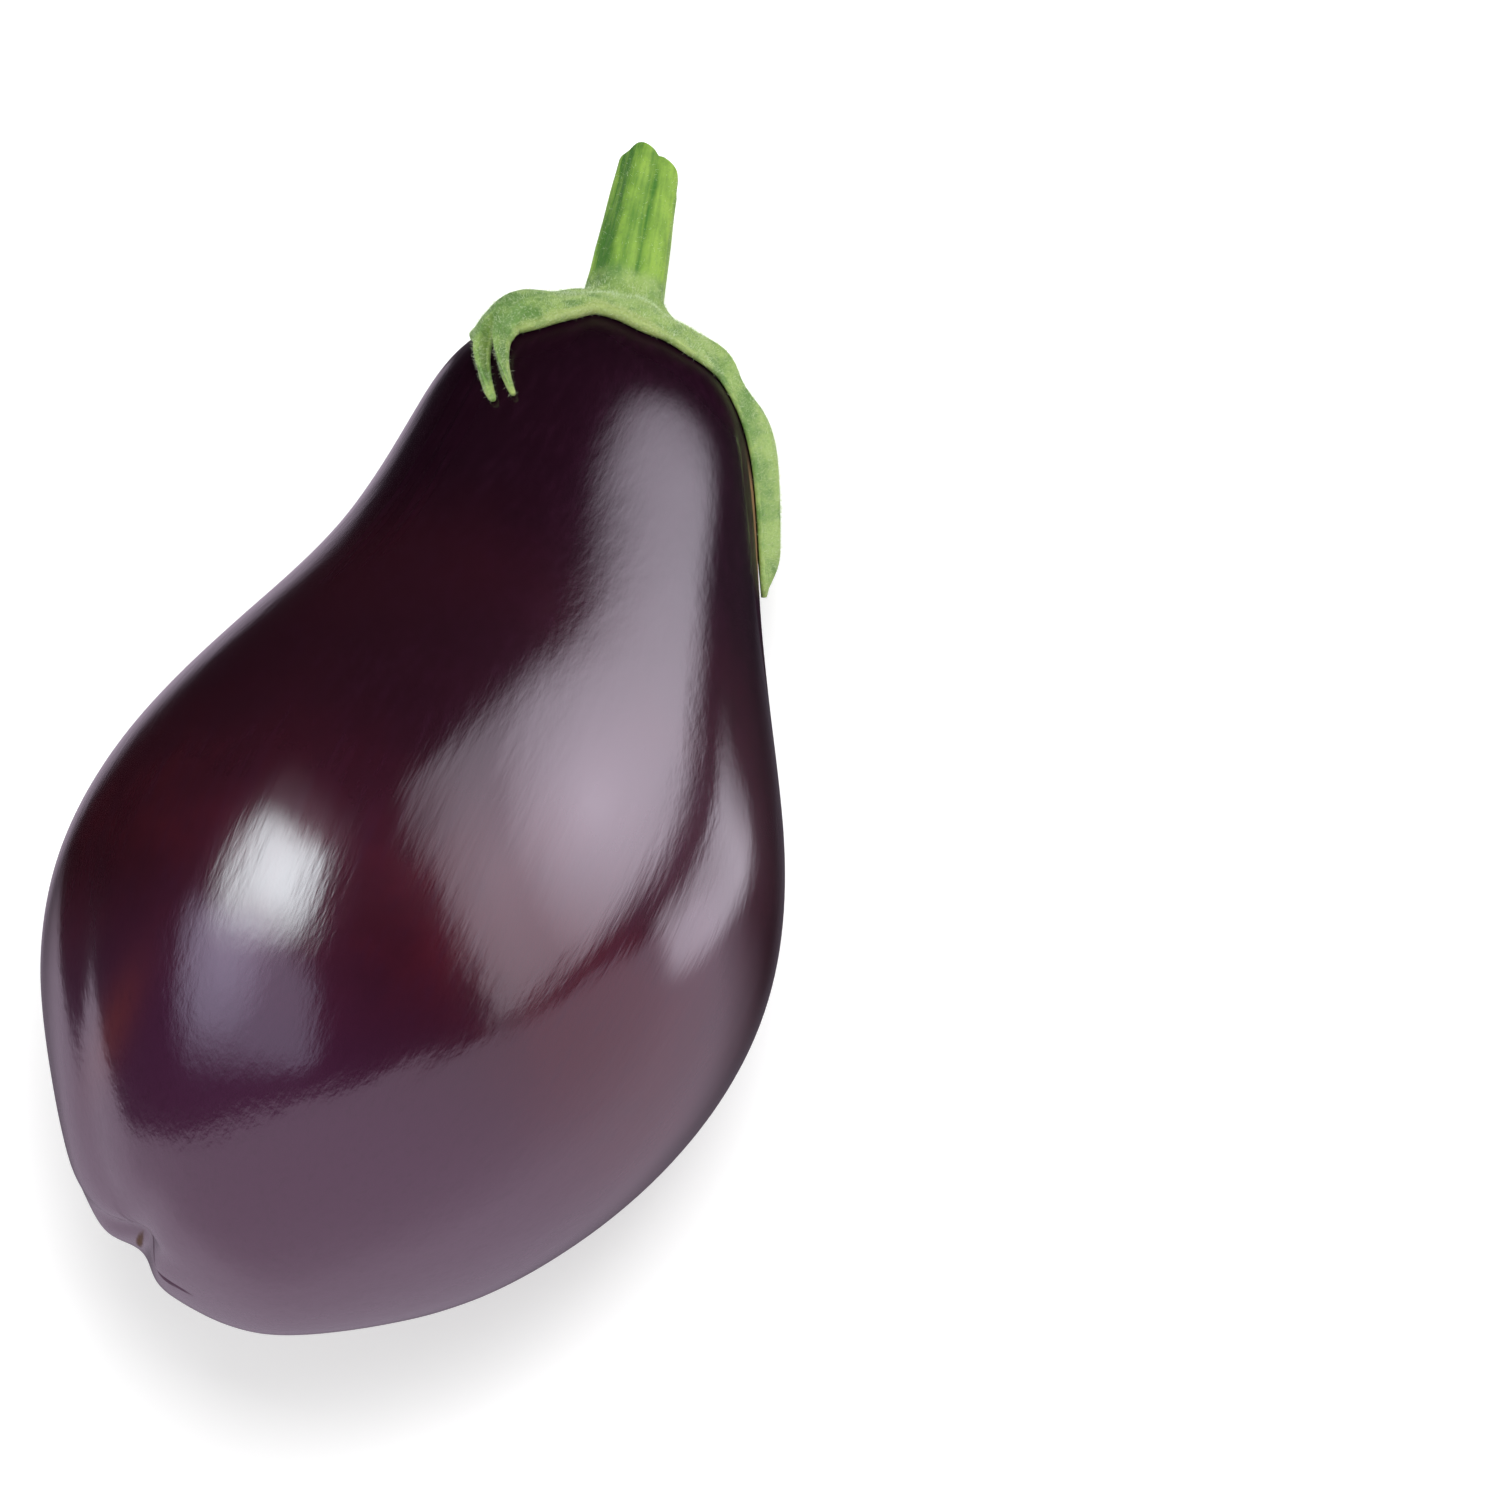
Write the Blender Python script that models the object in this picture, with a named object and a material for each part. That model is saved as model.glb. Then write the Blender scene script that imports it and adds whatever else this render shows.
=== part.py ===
"""An eggplant laid on its side: one grown fruit, and the green cap and stem that grew on it.

Metres, +Z up. The stem points along +X and the fruit rests on a small flat spot at z = 0.
Inside this file a point of the fruit is given by two angles: the station, which is 0 at the
blossom end and pi at the stem end, and the azimuth round the long axis, which is 0 on the
side that bulges least and 90 degrees on the upper side.
"""
import math

import bmesh
import bpy
import numpy as np

MM = 0.001

# Fruit: length, half girths at even station steps, and how the centre line bows sideways
FRUIT_LENGTH = 165 * MM
HALF_GIRTHS = [mm * MM for mm in (22.3, 39.4, 50.7, 49.1, 36.0, 27.3, 16.6)]
BLOSSOM_END_RADIUS = 72.7 * MM
STEM_END_RADIUS = 36 * MM
SIDE_SHIFTS = [mm * MM for mm in (3.8, 1.6, -4.2, -10.5, -5.0, 1.6, 3.7)]
BLOSSOM_END_TURN = math.radians(-15)
STEM_END_TURN = math.radians(10)
FRUIT_SEGMENTS = 60
FRUIT_RINGS = 44
END_CROWDING = 0.18
NORMAL_STEP = 1e-4
POLE_MARGIN = 0.02

# Blossom end: a long dimple with a low swelling round it, a crease and a soft valley running
# from it; places are sideways and upward, seen along the long axis
DIMPLE_PLACE = (8 * MM, -4 * MM)
DIMPLE_HALF_WIDTH = 3.5 * MM
DIMPLE_HALF_LENGTH = 15 * MM
DIMPLE_DEPTH = 3 * MM
SWELLING_RADIUS = 15 * MM
SWELLING_HEIGHT = 1.1 * MM
CREASE_MIDDLE = (11 * MM, 0.5 * MM)
CREASE_DIRECTION = math.radians(-42)
CREASE_HALF_LENGTH = 9 * MM
CREASE_HALF_WIDTH = 3 * MM
CREASE_DEPTH = 1.6 * MM
END_FADE = 12 * MM
VALLEY_AZIMUTH = math.radians(33)
VALLEY_HALF_WIDTH = 5 * MM
VALLEY_DEPTH = 0.7 * MM
VALLEY_END = 30 * MM

# How the fruit lies: the stem end dips, and a shallow flat is worn where it rests
NOSE_DIP = math.radians(16.5)
ROLL = math.radians(1.7)
FLAT_DEPTH = 1.3 * MM
CUTTER_SIZE = 80 * MM

# Stem: leaves the fruit's end at a slight lean and was cut off aslant
STEM_LEAN = math.radians(13.6)
STEM_LENGTH = 25.8 * MM
STEM_FOOT_HEIGHT = 5 * MM
STEM_FOOT_RADIUS = 6.1 * MM
STEM_TOP_RADIUS = 4.9 * MM
STEM_RIB_COUNT = 5
STEM_RIB_HEIGHT = 0.35 * MM
STEM_GROOVE_AZIMUTH = math.radians(98)
CUT_SLOPE_BACK = math.tan(math.radians(28))
CUT_SLOPE_SIDE = math.tan(math.radians(22))
CUT_EDGE_ROUND = 0.8 * MM
CUT_RING_SHARE = 0.55
STEM_RINGS = 6
FLARE_RINGS = 3
FLARE_DROP = 2 * MM
FLARE_SWEEP = 1.5 * MM
FLARE_PROBE = 1 * MM

# Cap: a fleshy sheet that hugs the fruit's shoulder; reaches are measured along the skin
SKIN_GAP = 0.35 * MM
CAP_THICKNESS = 2.1 * MM
CAP_EDGE_THICKNESS = 0.75 * MM
CAP_FRONT_THICKENING = 1.2 * MM
CAP_FRONT_AZIMUTH = math.radians(80)
CAP_FRONT_HALF_WIDTH = math.radians(40)
LOBE_TIP_THICKNESS = 0.9 * MM
LOBE_THINS_OVER = 15 * MM
CAP_THINS_OVER = 7 * MM
CAP_INNER_REACH = 9 * MM
CAP_EVEN_REACH = 16.5 * MM
CAP_RIM_REACH = 22 * MM
CAP_NOTCH_AZIMUTH = math.radians(78)
CAP_NOTCH_HALF_WIDTH = math.radians(20)
CAP_NOTCH_DEPTH = 2.2 * MM
CAP_BACK_AZIMUTH = math.radians(272)
CAP_BACK_HALF_WIDTH = math.radians(63)
CAP_BACK_REACH = 3.5 * MM
CAP_RIDGE_HEIGHT = 0.45 * MM
CAP_RIDGE_HALF_WIDTH = math.radians(9)
RIM_BULGE = 0.35
CAP_COLUMNS = 108
CAP_OUTER_RINGS = 11
CAP_UNDER_RINGS = 12
CAP_CENTRE_SHARES = (0.5, 0.0)
REACH_STEPS = 300
REACH_AZIMUTHS = 73
REACH_END_STATION = math.pi / 3

# Waves round the cap, as puckers of its thickness and as a wavy edge: how many go round it,
# where they start in radians, and their height
CAP_PUCKERS = [(1, -2.6, 0.25 * MM), (7, 1.0, 0.22 * MM), (13, 2.2, 0.16 * MM)]
RIM_WAVES = [(11, 0.5, 0.25 * MM), (17, 1.9, 0.15 * MM)]

# Lobes of the cap: azimuth in degrees, spread to either side in degrees, extra reach in mm,
# power of the taper (over 1 gives hollow sides and a sharp tip), lift off the skin in mm
LOBES = [
    (40, 30, 38, 9.5, 0.75, 0.2),
    (171, 26, 44, 35.8, 2.0, 0.9),
    (243, 32, 34, 14.0, 0.95, 0.2),
    (308, 34, 36, 15.5, 1.0, 0.2),
]
LOBE_FOOT_SHARE = 0.25
LOBE_LIFT_SKEW = 0.7
LOBE_TIP_ROUND_DEGREES = 2.0

# Knuckles where a lobe bends over the shoulder, and hollows beside them with a height below 0:
# azimuth in degrees, reach, radius and height in mm; a turn is measured along the knuckle circle
KNUCKLES = [
    (40, 22, 4, 0.85),
    (43, 15.5, 4.5, -0.75),
    (128, 10, 4, -1.0),
    (156, 17.5, 4, 0.9),
    (160, 22.8, 2.6, -0.5),
    (168, 29, 6, 0.5),
]
KNUCKLE_CIRCLE = 20 * MM

# Two narrow finger tips on the first lobe: azimuth and half width in degrees, reach in mm
FINGERS = [(38.9, 4.2, 43.0), (46.6, 4.8, 41.7)]
FINGER_TIP_START = 0.1
FINGER_TIP_SPAN = 0.45
FINGER_TIP_PART = 0.62
FINGER_ROOT_REACH = 29 * MM
FINGER_BEND = math.radians(16)
FINGER_BEND_REACH = 13.5 * MM
FINGER_BEND_POWER = 1.3
FINGER_BEND_HALF_WIDTH = math.radians(17)
FINGER_MIDDLE = math.radians(43)
FINGER_CROWDING = 5.0
FINGER_CROWDING_WIDTH = math.radians(10)
CROWDING_STEPS = 3601

SKIN_COLOUR = (0.022, 0.005, 0.012, 1.0)
GREEN_COLOUR = (0.21, 0.38, 0.09, 1.0)
SKIN_ROUGHNESS = 0.2
GREEN_ROUGHNESS = 0.6


def smoothstep(value):
    value = np.clip(value, 0.0, 1.0)
    return value * value * (3.0 - 2.0 * value)


def bell(offset, half_width):
    return np.exp(-(offset / half_width) ** 2)


def turn_between(azimuth, middle):
    """Smallest signed angle from middle to azimuth."""
    return (azimuth - middle + math.pi) % (2 * math.pi) - math.pi


def smooth_curve(values, station):
    """Cubic curve through values at even station steps, level at both ends."""
    values = np.asarray(values)
    last = len(values) - 1
    step = math.pi / last
    bend_matrix = 4 * np.eye(last + 1) + np.eye(last + 1, k=1) + np.eye(last + 1, k=-1)
    bend_matrix[0, 0] = bend_matrix[last, last] = 2
    rises = np.diff(values, prepend=values[0], append=values[-1])
    bends = np.linalg.solve(bend_matrix, 6 / step ** 2 * np.diff(rises))
    index = np.clip((station / step).astype(int), 0, last - 1)
    after = station / step - index
    before = 1 - after
    bow = (before ** 3 - before) * bends[index] + (after ** 3 - after) * bends[index + 1]
    return before * values[index] + after * values[index + 1] + bow * step ** 2 / 6


def fullness_values():
    """Half girths divided by those of a ball, with the end radii at either end."""
    steps = len(HALF_GIRTHS) + 1
    inner = [girth / math.sin(math.pi * (i + 1) / steps) for i, girth in enumerate(HALF_GIRTHS)]
    return [BLOSSOM_END_RADIUS] + inner + [STEM_END_RADIUS]


def smooth_skin(station, azimuth):
    """Points of the fruit's skin without its crease, as an array with x, y and z last."""
    along = (1 - np.cos(station)) / 2
    radius = np.sin(station) * smooth_curve(fullness_values(), station)
    side = smooth_curve(SIDE_SHIFTS, station)
    turn = BLOSSOM_END_TURN + (STEM_END_TURN - BLOSSOM_END_TURN) * along
    across = radius * np.cos(azimuth)
    x = FRUIT_LENGTH * along - np.sin(turn) * across
    y = side + np.cos(turn) * across
    return np.stack([x, y, radius * np.sin(azimuth)], axis=-1)


def skin_normal(station, azimuth):
    """Outward direction at points of the skin, away from the two poles."""
    step = NORMAL_STEP
    station = np.clip(station, POLE_MARGIN, math.pi - POLE_MARGIN)
    along = smooth_skin(station + step, azimuth) - smooth_skin(station - step, azimuth)
    around = smooth_skin(station, azimuth + step) - smooth_skin(station, azimuth - step)
    normal = np.cross(around, along)
    return normal / np.linalg.norm(normal, axis=-1, keepdims=True)


def creased_skin(station, azimuth):
    """The skin with the crease and the soft valley of the blossom end pressed in."""
    points = smooth_skin(station, azimuth)
    x, y, z = np.moveaxis(points, -1, 0)
    y_off = y - CREASE_MIDDLE[0]
    z_off = z - CREASE_MIDDLE[1]
    lengthwise = y_off * math.cos(CREASE_DIRECTION) + z_off * math.sin(CREASE_DIRECTION)
    crosswise = z_off * math.cos(CREASE_DIRECTION) - y_off * math.sin(CREASE_DIRECTION)
    dimple_y = y - DIMPLE_PLACE[0]
    dimple_z = z - DIMPLE_PLACE[1]
    dimple = DIMPLE_DEPTH * bell(dimple_y, DIMPLE_HALF_WIDTH) * bell(dimple_z, DIMPLE_HALF_LENGTH)
    swelling = SWELLING_HEIGHT * bell(np.hypot(dimple_y, dimple_z), SWELLING_RADIUS)
    crease = CREASE_DEPTH * bell(crosswise, CREASE_HALF_WIDTH) * bell(lengthwise, CREASE_HALF_LENGTH)
    radius = np.hypot(y, z)
    valley_offset = radius * turn_between(np.arctan2(z, y), VALLEY_AZIMUTH)
    valley = VALLEY_DEPTH * bell(valley_offset, VALLEY_HALF_WIDTH) * smoothstep(2 - x / VALLEY_END)
    valley *= smoothstep(radius / (2 * VALLEY_HALF_WIDTH) - 1)
    pressed = (crease + dimple - swelling) * bell(x, END_FADE) + valley
    return points - pressed[..., None] * skin_normal(station, azimuth)


def material(name, colour, roughness):
    made = bpy.data.materials.new(name)
    made.use_nodes = True
    shader = made.node_tree.nodes["Principled BSDF"]
    shader.inputs["Base Color"].default_value = colour
    shader.inputs["Roughness"].default_value = roughness
    shader.inputs["Metallic"].default_value = 0.0
    return made


def mapped_ball(name, segments, rings, place):
    """A sphere primitive whose points are placed by ring and segment number."""
    mesh = bpy.data.meshes.new(name)
    body = bmesh.new()
    bmesh.ops.create_uvsphere(body, u_segments=segments, v_segments=rings, radius=1.0)
    grid = place(segments, rings)
    for vertex in body.verts:
        ring = round(math.acos(max(-1.0, min(1.0, vertex.co.z))) / math.pi * rings)
        segment = round(math.atan2(vertex.co.y, vertex.co.x) / (2 * math.pi) * segments)
        vertex.co = grid[ring, segment % segments]
    bmesh.ops.recalc_face_normals(body, faces=body.faces)
    for face in body.faces:
        face.smooth = True
    body.to_mesh(mesh)
    body.free()
    return bpy.data.objects.new(name, mesh)


def fruit_grid(segments, rings):
    """Skin points in rings from the blossom end to the stem end, closer together near the ends."""
    even = np.linspace(0, math.pi, rings + 1)
    station = even - END_CROWDING * np.sin(2 * even)
    azimuth = 2 * math.pi * np.arange(segments) / segments
    return creased_skin(*np.meshgrid(station, azimuth, indexing="ij"))


def crowded_azimuths(columns):
    """Azimuths of the cap's columns, crowded together where the finger tips are."""
    fine = np.linspace(0, 2 * math.pi, CROWDING_STEPS)
    density = 1 + FINGER_CROWDING * bell(turn_between(fine, FINGER_MIDDLE), FINGER_CROWDING_WIDTH)
    share = np.concatenate([[0], np.cumsum((density[1:] + density[:-1]) / 2)])
    return np.interp(np.arange(columns) / columns, share / share[-1], fine)


def lobe_share(azimuth, lobe):
    """1 at a lobe's tip, falling softly to 0 at either foot."""
    middle, before, after, _, power, _ = lobe
    offset = np.degrees(turn_between(azimuth, math.radians(middle)))
    spread = np.where(offset < 0, before, after)
    share = np.clip(1 - np.hypot(offset, LOBE_TIP_ROUND_DEGREES) / spread, 0, 1)
    return share ** power * smoothstep(share / LOBE_FOOT_SHARE)


def waves(azimuth, terms):
    """Sum of waves round the cap, each given by its count, start and height."""
    return sum(height * np.cos(count * azimuth + start) for count, start, height in terms)


def rim_reach(azimuth):
    """How far the cap's edge lies from the stem end of the fruit, measured along the skin."""
    notch = bell(turn_between(azimuth, CAP_NOTCH_AZIMUTH), CAP_NOTCH_HALF_WIDTH)
    back = bell(turn_between(azimuth, CAP_BACK_AZIMUTH), CAP_BACK_HALF_WIDTH)
    reach = CAP_RIM_REACH - CAP_NOTCH_DEPTH * notch + CAP_BACK_REACH * back
    reach = reach + waves(azimuth, RIM_WAVES)
    for lobe in LOBES:
        reach = reach + lobe[3] * MM * lobe_share(azimuth, lobe)
    for middle, half_width, finger_reach in FINGERS:
        offset = np.abs(np.degrees(turn_between(azimuth, math.radians(middle)))) / half_width
        finger = FINGER_ROOT_REACH + (finger_reach * MM - FINGER_ROOT_REACH) * finger_taper(offset)
        reach = np.where(offset < 1, np.maximum(reach, finger), reach)
    return reach


def finger_taper(offset):
    """Reach share across a finger: a slim tip on a broader root."""
    slim = 1 - smoothstep((offset - FINGER_TIP_START) / FINGER_TIP_SPAN)
    root = 1 - smoothstep(offset)
    return FINGER_TIP_PART * slim + (1 - FINGER_TIP_PART) * root


def stations_at(reach, azimuth):
    """Stations of skin points that lie a given way along the skin from the stem end."""
    fine_station = np.linspace(math.pi, REACH_END_STATION, REACH_STEPS)
    fine_azimuth = np.linspace(0, 2 * math.pi, REACH_AZIMUTHS)
    lines = smooth_skin(*np.meshgrid(fine_station, fine_azimuth, indexing="ij"))
    steps = np.linalg.norm(np.diff(lines, axis=0), axis=-1)
    ways = np.concatenate([np.zeros((1, len(fine_azimuth))), np.cumsum(steps, axis=0)])
    place = (azimuth % (2 * math.pi)) / (2 * math.pi) * (len(fine_azimuth) - 1)
    left = np.minimum(place.astype(int), len(fine_azimuth) - 2)
    found = np.array([np.interp(reach, ways[:, j], fine_station) for j in range(len(fine_azimuth))])
    low = np.take_along_axis(found, left[None], axis=0)[0]
    high = np.take_along_axis(found, left[None] + 1, axis=0)[0]
    return low + (high - low) * (place - left)


def bent_azimuth(reach, azimuth):
    """Azimuth after the finger tips have curled round the fruit."""
    share = np.clip((reach - FINGER_ROOT_REACH) / FINGER_BEND_REACH, 0, 2) ** FINGER_BEND_POWER
    near = bell(turn_between(azimuth, FINGER_MIDDLE), FINGER_BEND_HALF_WIDTH)
    return azimuth + FINGER_BEND * share * near


def cap_point(reach, azimuth, height):
    """A point a given height off the skin."""
    bent = bent_azimuth(reach, azimuth)
    station = stations_at(reach, bent)
    return smooth_skin(station, bent) + height[..., None] * skin_normal(station, bent)


def cap_lift(reach, azimuth):
    """Height of the underside: it hugs the skin, and a lobe's middle stands off a little."""
    lift = np.zeros_like(reach)
    for lobe in LOBES:
        extra, most = lobe[3] * MM, lobe[5] * MM
        share = np.clip((reach - CAP_RIM_REACH) / extra, 0, 1)
        inward = lobe_share(azimuth, lobe) - share
        near = smoothstep(2 * inward / (1 - share + POLE_MARGIN))
        lift = lift + most * near * np.sin(math.pi * share ** LOBE_LIFT_SKEW)
    return SKIN_GAP + lift


def knuckles(reach, azimuth):
    """Height of the soft bumps where the lobes bend over the shoulder, less the hollows."""
    total = np.zeros_like(reach)
    for middle, along, radius, height in KNUCKLES:
        around = KNUCKLE_CIRCLE * turn_between(azimuth, math.radians(middle))
        total = total + height * MM * bell(np.hypot(reach - along * MM, around), radius * MM)
    return total


def cap_thickness(reach, rim, azimuth):
    """Thick at the shoulder, thinner toward the rim and thinnest at the lobes' tips."""
    front = bell(turn_between(azimuth, CAP_FRONT_AZIMUTH), CAP_FRONT_HALF_WIDTH)
    at_rim = CAP_EDGE_THICKNESS + CAP_FRONT_THICKENING * front
    at_tip = smoothstep((rim - CAP_RIM_REACH) / LOBE_THINS_OVER)
    edge = at_rim + (LOBE_TIP_THICKNESS - at_rim) * at_tip
    inside = smoothstep((rim - reach) / CAP_THINS_OVER)
    offsets = [turn_between(azimuth, math.radians(lobe[0])) for lobe in LOBES]
    ridges = CAP_RIDGE_HEIGHT * sum(bell(offset, CAP_RIDGE_HALF_WIDTH) for offset in offsets)
    bumps = waves(azimuth, CAP_PUCKERS) + knuckles(reach, azimuth)
    return edge + (CAP_THICKNESS - edge + ridges + bumps) * inside


def stem_axes():
    """Foot of the stem on the skin, its direction, and two directions across it."""
    foot = smooth_skin(np.array(math.pi), np.array(0.0))
    along = np.array([math.cos(STEM_LEAN), math.sin(STEM_LEAN), 0.0])
    side = np.array([-math.sin(STEM_LEAN), math.cos(STEM_LEAN), 0.0])
    return foot, along, side, np.array([0.0, 0.0, 1.0])


def stem_ring(height_share, radius_share, azimuth):
    """A ring of the stem: share 0 is its foot and 1 the slanted cut."""
    foot, along, side, up = stem_axes()
    radius = STEM_FOOT_RADIUS + (STEM_TOP_RADIUS - STEM_FOOT_RADIUS) * height_share
    ribs = np.cos(STEM_RIB_COUNT * (azimuth - STEM_GROOVE_AZIMUTH))
    radius = radius_share * (radius - STEM_RIB_HEIGHT * ribs)
    slope = CUT_SLOPE_BACK * np.sin(azimuth) + CUT_SLOPE_SIDE * np.cos(azimuth)
    height = STEM_FOOT_HEIGHT + (STEM_LENGTH - STEM_FOOT_HEIGHT) * height_share
    height = height + radius * slope * height_share
    outward = np.cos(azimuth)[:, None] * side + np.sin(azimuth)[:, None] * up
    return foot + height[:, None] * along + radius[:, None] * outward


def flare_rows(foot_ring, cap_ring, azimuth, count):
    """Rings that sweep from the stem's foot out onto the cap."""
    _, along, _, _ = stem_axes()
    height = CAP_THICKNESS + np.zeros_like(azimuth)
    outer = cap_point(np.full_like(azimuth, CAP_INNER_REACH + FLARE_PROBE), azimuth, height)
    inner = cap_point(np.full_like(azimuth, CAP_INNER_REACH), azimuth, height)
    outward = (outer - inner) / np.linalg.norm(outer - inner, axis=-1, keepdims=True)
    down = foot_ring - FLARE_DROP * along
    back = cap_ring - FLARE_SWEEP * outward
    rows = []
    for share in np.arange(1, count + 1) / (count + 1):
        rest = 1 - share
        ends = rest ** 3 * foot_ring + share ** 3 * cap_ring
        rows.append(ends + 3 * rest ** 2 * share * down + 3 * rest * share ** 2 * back)
    return rows


def cap_row(share, azimuth, outer):
    """A ring of the cap's upper or under side; share 0 is by the stem and 1 the rim."""
    rim = rim_reach(azimuth)
    even = CAP_INNER_REACH + (CAP_EVEN_REACH - CAP_INNER_REACH) * share * 2
    spread = CAP_EVEN_REACH + (rim - CAP_EVEN_REACH) * (share * 2 - 1)
    reach = np.full_like(azimuth, even) if share < 0.5 else spread
    height = cap_lift(reach, azimuth)
    if outer:
        height = height + cap_thickness(reach, rim, azimuth)
    return cap_point(reach, azimuth, height)


def rim_edge(top, under):
    """The rounded edge: midway between the rim's two rings and a little further out."""
    middle = (top + under) / 2
    along_rim = np.roll(middle, -1, axis=0) - np.roll(middle, 1, axis=0)
    upward = top - under
    outward = np.cross(along_rim, upward)
    outward = outward / np.linalg.norm(outward, axis=-1, keepdims=True)
    return middle + RIM_BULGE * np.linalg.norm(upward, axis=-1, keepdims=True) * outward


def cap_and_stem_rows(azimuth):
    """All rings from the middle of the cut, down the stem, over the cap and back beneath it."""
    rows = [stem_ring(1.0, 0.0, azimuth), stem_ring(1.0, CUT_RING_SHARE, azimuth)]
    rows.append(stem_ring(1.0, 1 - CUT_EDGE_ROUND / STEM_TOP_RADIUS, azimuth))
    top = 1 - CUT_EDGE_ROUND / STEM_LENGTH
    rows.extend(stem_ring(share, 1.0, azimuth) for share in np.linspace(top, 0, STEM_RINGS))
    cap_start = cap_row(0.0, azimuth, True)
    rows.extend(flare_rows(rows[-1], cap_start, azimuth, FLARE_RINGS))
    rows.extend(cap_row(share, azimuth, True) for share in np.linspace(0, 1, CAP_OUTER_RINGS))
    under = [cap_row(share, azimuth, False) for share in np.linspace(1, 0, CAP_UNDER_RINGS)]
    rows.append(rim_edge(rows[-1], under[0]))
    rows.extend(under)
    for share in CAP_CENTRE_SHARES:
        reach = np.full_like(azimuth, CAP_INNER_REACH * share)
        rows.append(cap_point(reach, azimuth, cap_lift(reach, azimuth)))
    return rows


def cap_and_stem_grid(segments, rings):
    azimuth = crowded_azimuths(segments)
    rows = np.array(cap_and_stem_rows(azimuth))
    rows[0] = rows[0].mean(axis=0)
    rows[-1] = rows[-1].mean(axis=0)
    return rows


def make_collection(name):
    made = bpy.data.collections.new(name)
    bpy.context.scene.collection.children.link(made)
    return made


def lay_down(holder, objects):
    """Turn the holder so that the fruit lies on its side, centred over its resting spot."""
    holder.rotation_euler = (ROLL, NOSE_DIP, 0)
    turn = holder.rotation_euler.to_matrix()
    points = np.array([turn @ vertex.co for made in objects for vertex in made.data.vertices])
    middle = (points.min(axis=0) + points.max(axis=0)) / 2
    holder.location = (-middle[0], -middle[1], -points[:, 2].min() - FLAT_DEPTH)


def cut_resting_flat(fruit, cutters):
    """Cut the fruit off level at z = 0 with a block."""
    bpy.ops.mesh.primitive_cube_add(size=CUTTER_SIZE, location=(0, 0, -CUTTER_SIZE / 2))
    block = bpy.context.object
    block.name = "resting_flat_cutter"
    for owner in list(block.users_collection):
        owner.objects.unlink(block)
    cutters.objects.link(block)
    block.hide_render = True
    block.display_type = "WIRE"
    cut = fruit.modifiers.new("resting_flat", "BOOLEAN")
    cut.operation = "DIFFERENCE"
    cut.solver = "EXACT"
    cut.object = block


def build():
    for old in list(bpy.data.objects):
        bpy.data.objects.remove(old, do_unlink=True)
    eggplant = make_collection("eggplant")
    cutters = make_collection("cutters")
    holder = bpy.data.objects.new("eggplant_lying", None)
    eggplant.objects.link(holder)

    fruit = mapped_ball("fruit", FRUIT_SEGMENTS, FRUIT_RINGS, fruit_grid)
    fruit.data.materials.append(material("aubergine_skin", SKIN_COLOUR, SKIN_ROUGHNESS))
    cap_rings = len(cap_and_stem_rows(crowded_azimuths(CAP_COLUMNS))) - 1
    cap = mapped_ball("cap_and_stem", CAP_COLUMNS, cap_rings, cap_and_stem_grid)
    cap.data.materials.append(material("green_cap", GREEN_COLOUR, GREEN_ROUGHNESS))
    for made in (fruit, cap):
        eggplant.objects.link(made)
        made.parent = holder
    lay_down(holder, (fruit, cap))
    cut_resting_flat(fruit, cutters)


build()
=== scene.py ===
import math

import bpy
import numpy as np
from mathutils import Euler, Matrix, Vector


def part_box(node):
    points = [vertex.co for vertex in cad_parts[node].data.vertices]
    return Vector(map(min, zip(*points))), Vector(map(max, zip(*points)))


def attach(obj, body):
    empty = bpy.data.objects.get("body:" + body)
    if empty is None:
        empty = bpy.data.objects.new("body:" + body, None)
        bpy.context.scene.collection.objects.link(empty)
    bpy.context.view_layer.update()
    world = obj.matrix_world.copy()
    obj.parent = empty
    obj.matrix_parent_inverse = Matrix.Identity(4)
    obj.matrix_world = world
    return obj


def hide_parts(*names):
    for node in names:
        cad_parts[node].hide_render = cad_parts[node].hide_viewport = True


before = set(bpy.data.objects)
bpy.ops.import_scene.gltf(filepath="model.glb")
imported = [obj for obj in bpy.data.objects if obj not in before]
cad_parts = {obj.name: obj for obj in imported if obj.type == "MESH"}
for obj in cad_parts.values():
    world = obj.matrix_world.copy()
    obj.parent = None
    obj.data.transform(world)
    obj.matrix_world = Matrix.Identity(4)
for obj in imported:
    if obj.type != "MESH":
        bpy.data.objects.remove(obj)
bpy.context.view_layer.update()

MM = 0.001


# Fruit: a berry with spongy flesh under a thin, waxy, near-black purple skin. It swelled from
# the stem end, so its skin has faint streaks along its length, and it closed at the blossom
# end in a dimple with a crease. It is worn flat where it lies.

FRUIT_LENGTH = 165 * MM
HALF_GIRTHS = [mm * MM for mm in (22.3, 39.4, 50.7, 49.1, 36.0, 27.3, 16.6)]
BLOSSOM_END_RADIUS = 72.7 * MM
STEM_END_RADIUS = 36 * MM
SIDE_SHIFTS = [mm * MM for mm in (3.8, 1.6, -4.2, -10.5, -5.0, 1.6, 3.7)]
BLOSSOM_END_TURN = math.radians(-15)
STEM_END_TURN = math.radians(10)
END_CROWDING = 0.18
DIMPLE_PLACE = (8 * MM, -4 * MM)
DIMPLE_HALF_WIDTH = 3.5 * MM
DIMPLE_HALF_LENGTH = 15 * MM
DIMPLE_DEPTH = 3 * MM
SWELLING_RADIUS = 15 * MM
SWELLING_HEIGHT = 1.1 * MM
CREASE_MIDDLE = (11 * MM, 0.5 * MM)
CREASE_DIRECTION = math.radians(-42)
CREASE_HALF_LENGTH = 9 * MM
CREASE_HALF_WIDTH = 3 * MM
CREASE_DEPTH = 1.6 * MM
END_FADE = 12 * MM
VALLEY_AZIMUTH = math.radians(33)
VALLEY_HALF_WIDTH = 5 * MM
VALLEY_DEPTH = 0.7 * MM
VALLEY_END = 30 * MM
NOSE_DIP = math.radians(16.5)
ROLL = math.radians(1.7)
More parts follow.
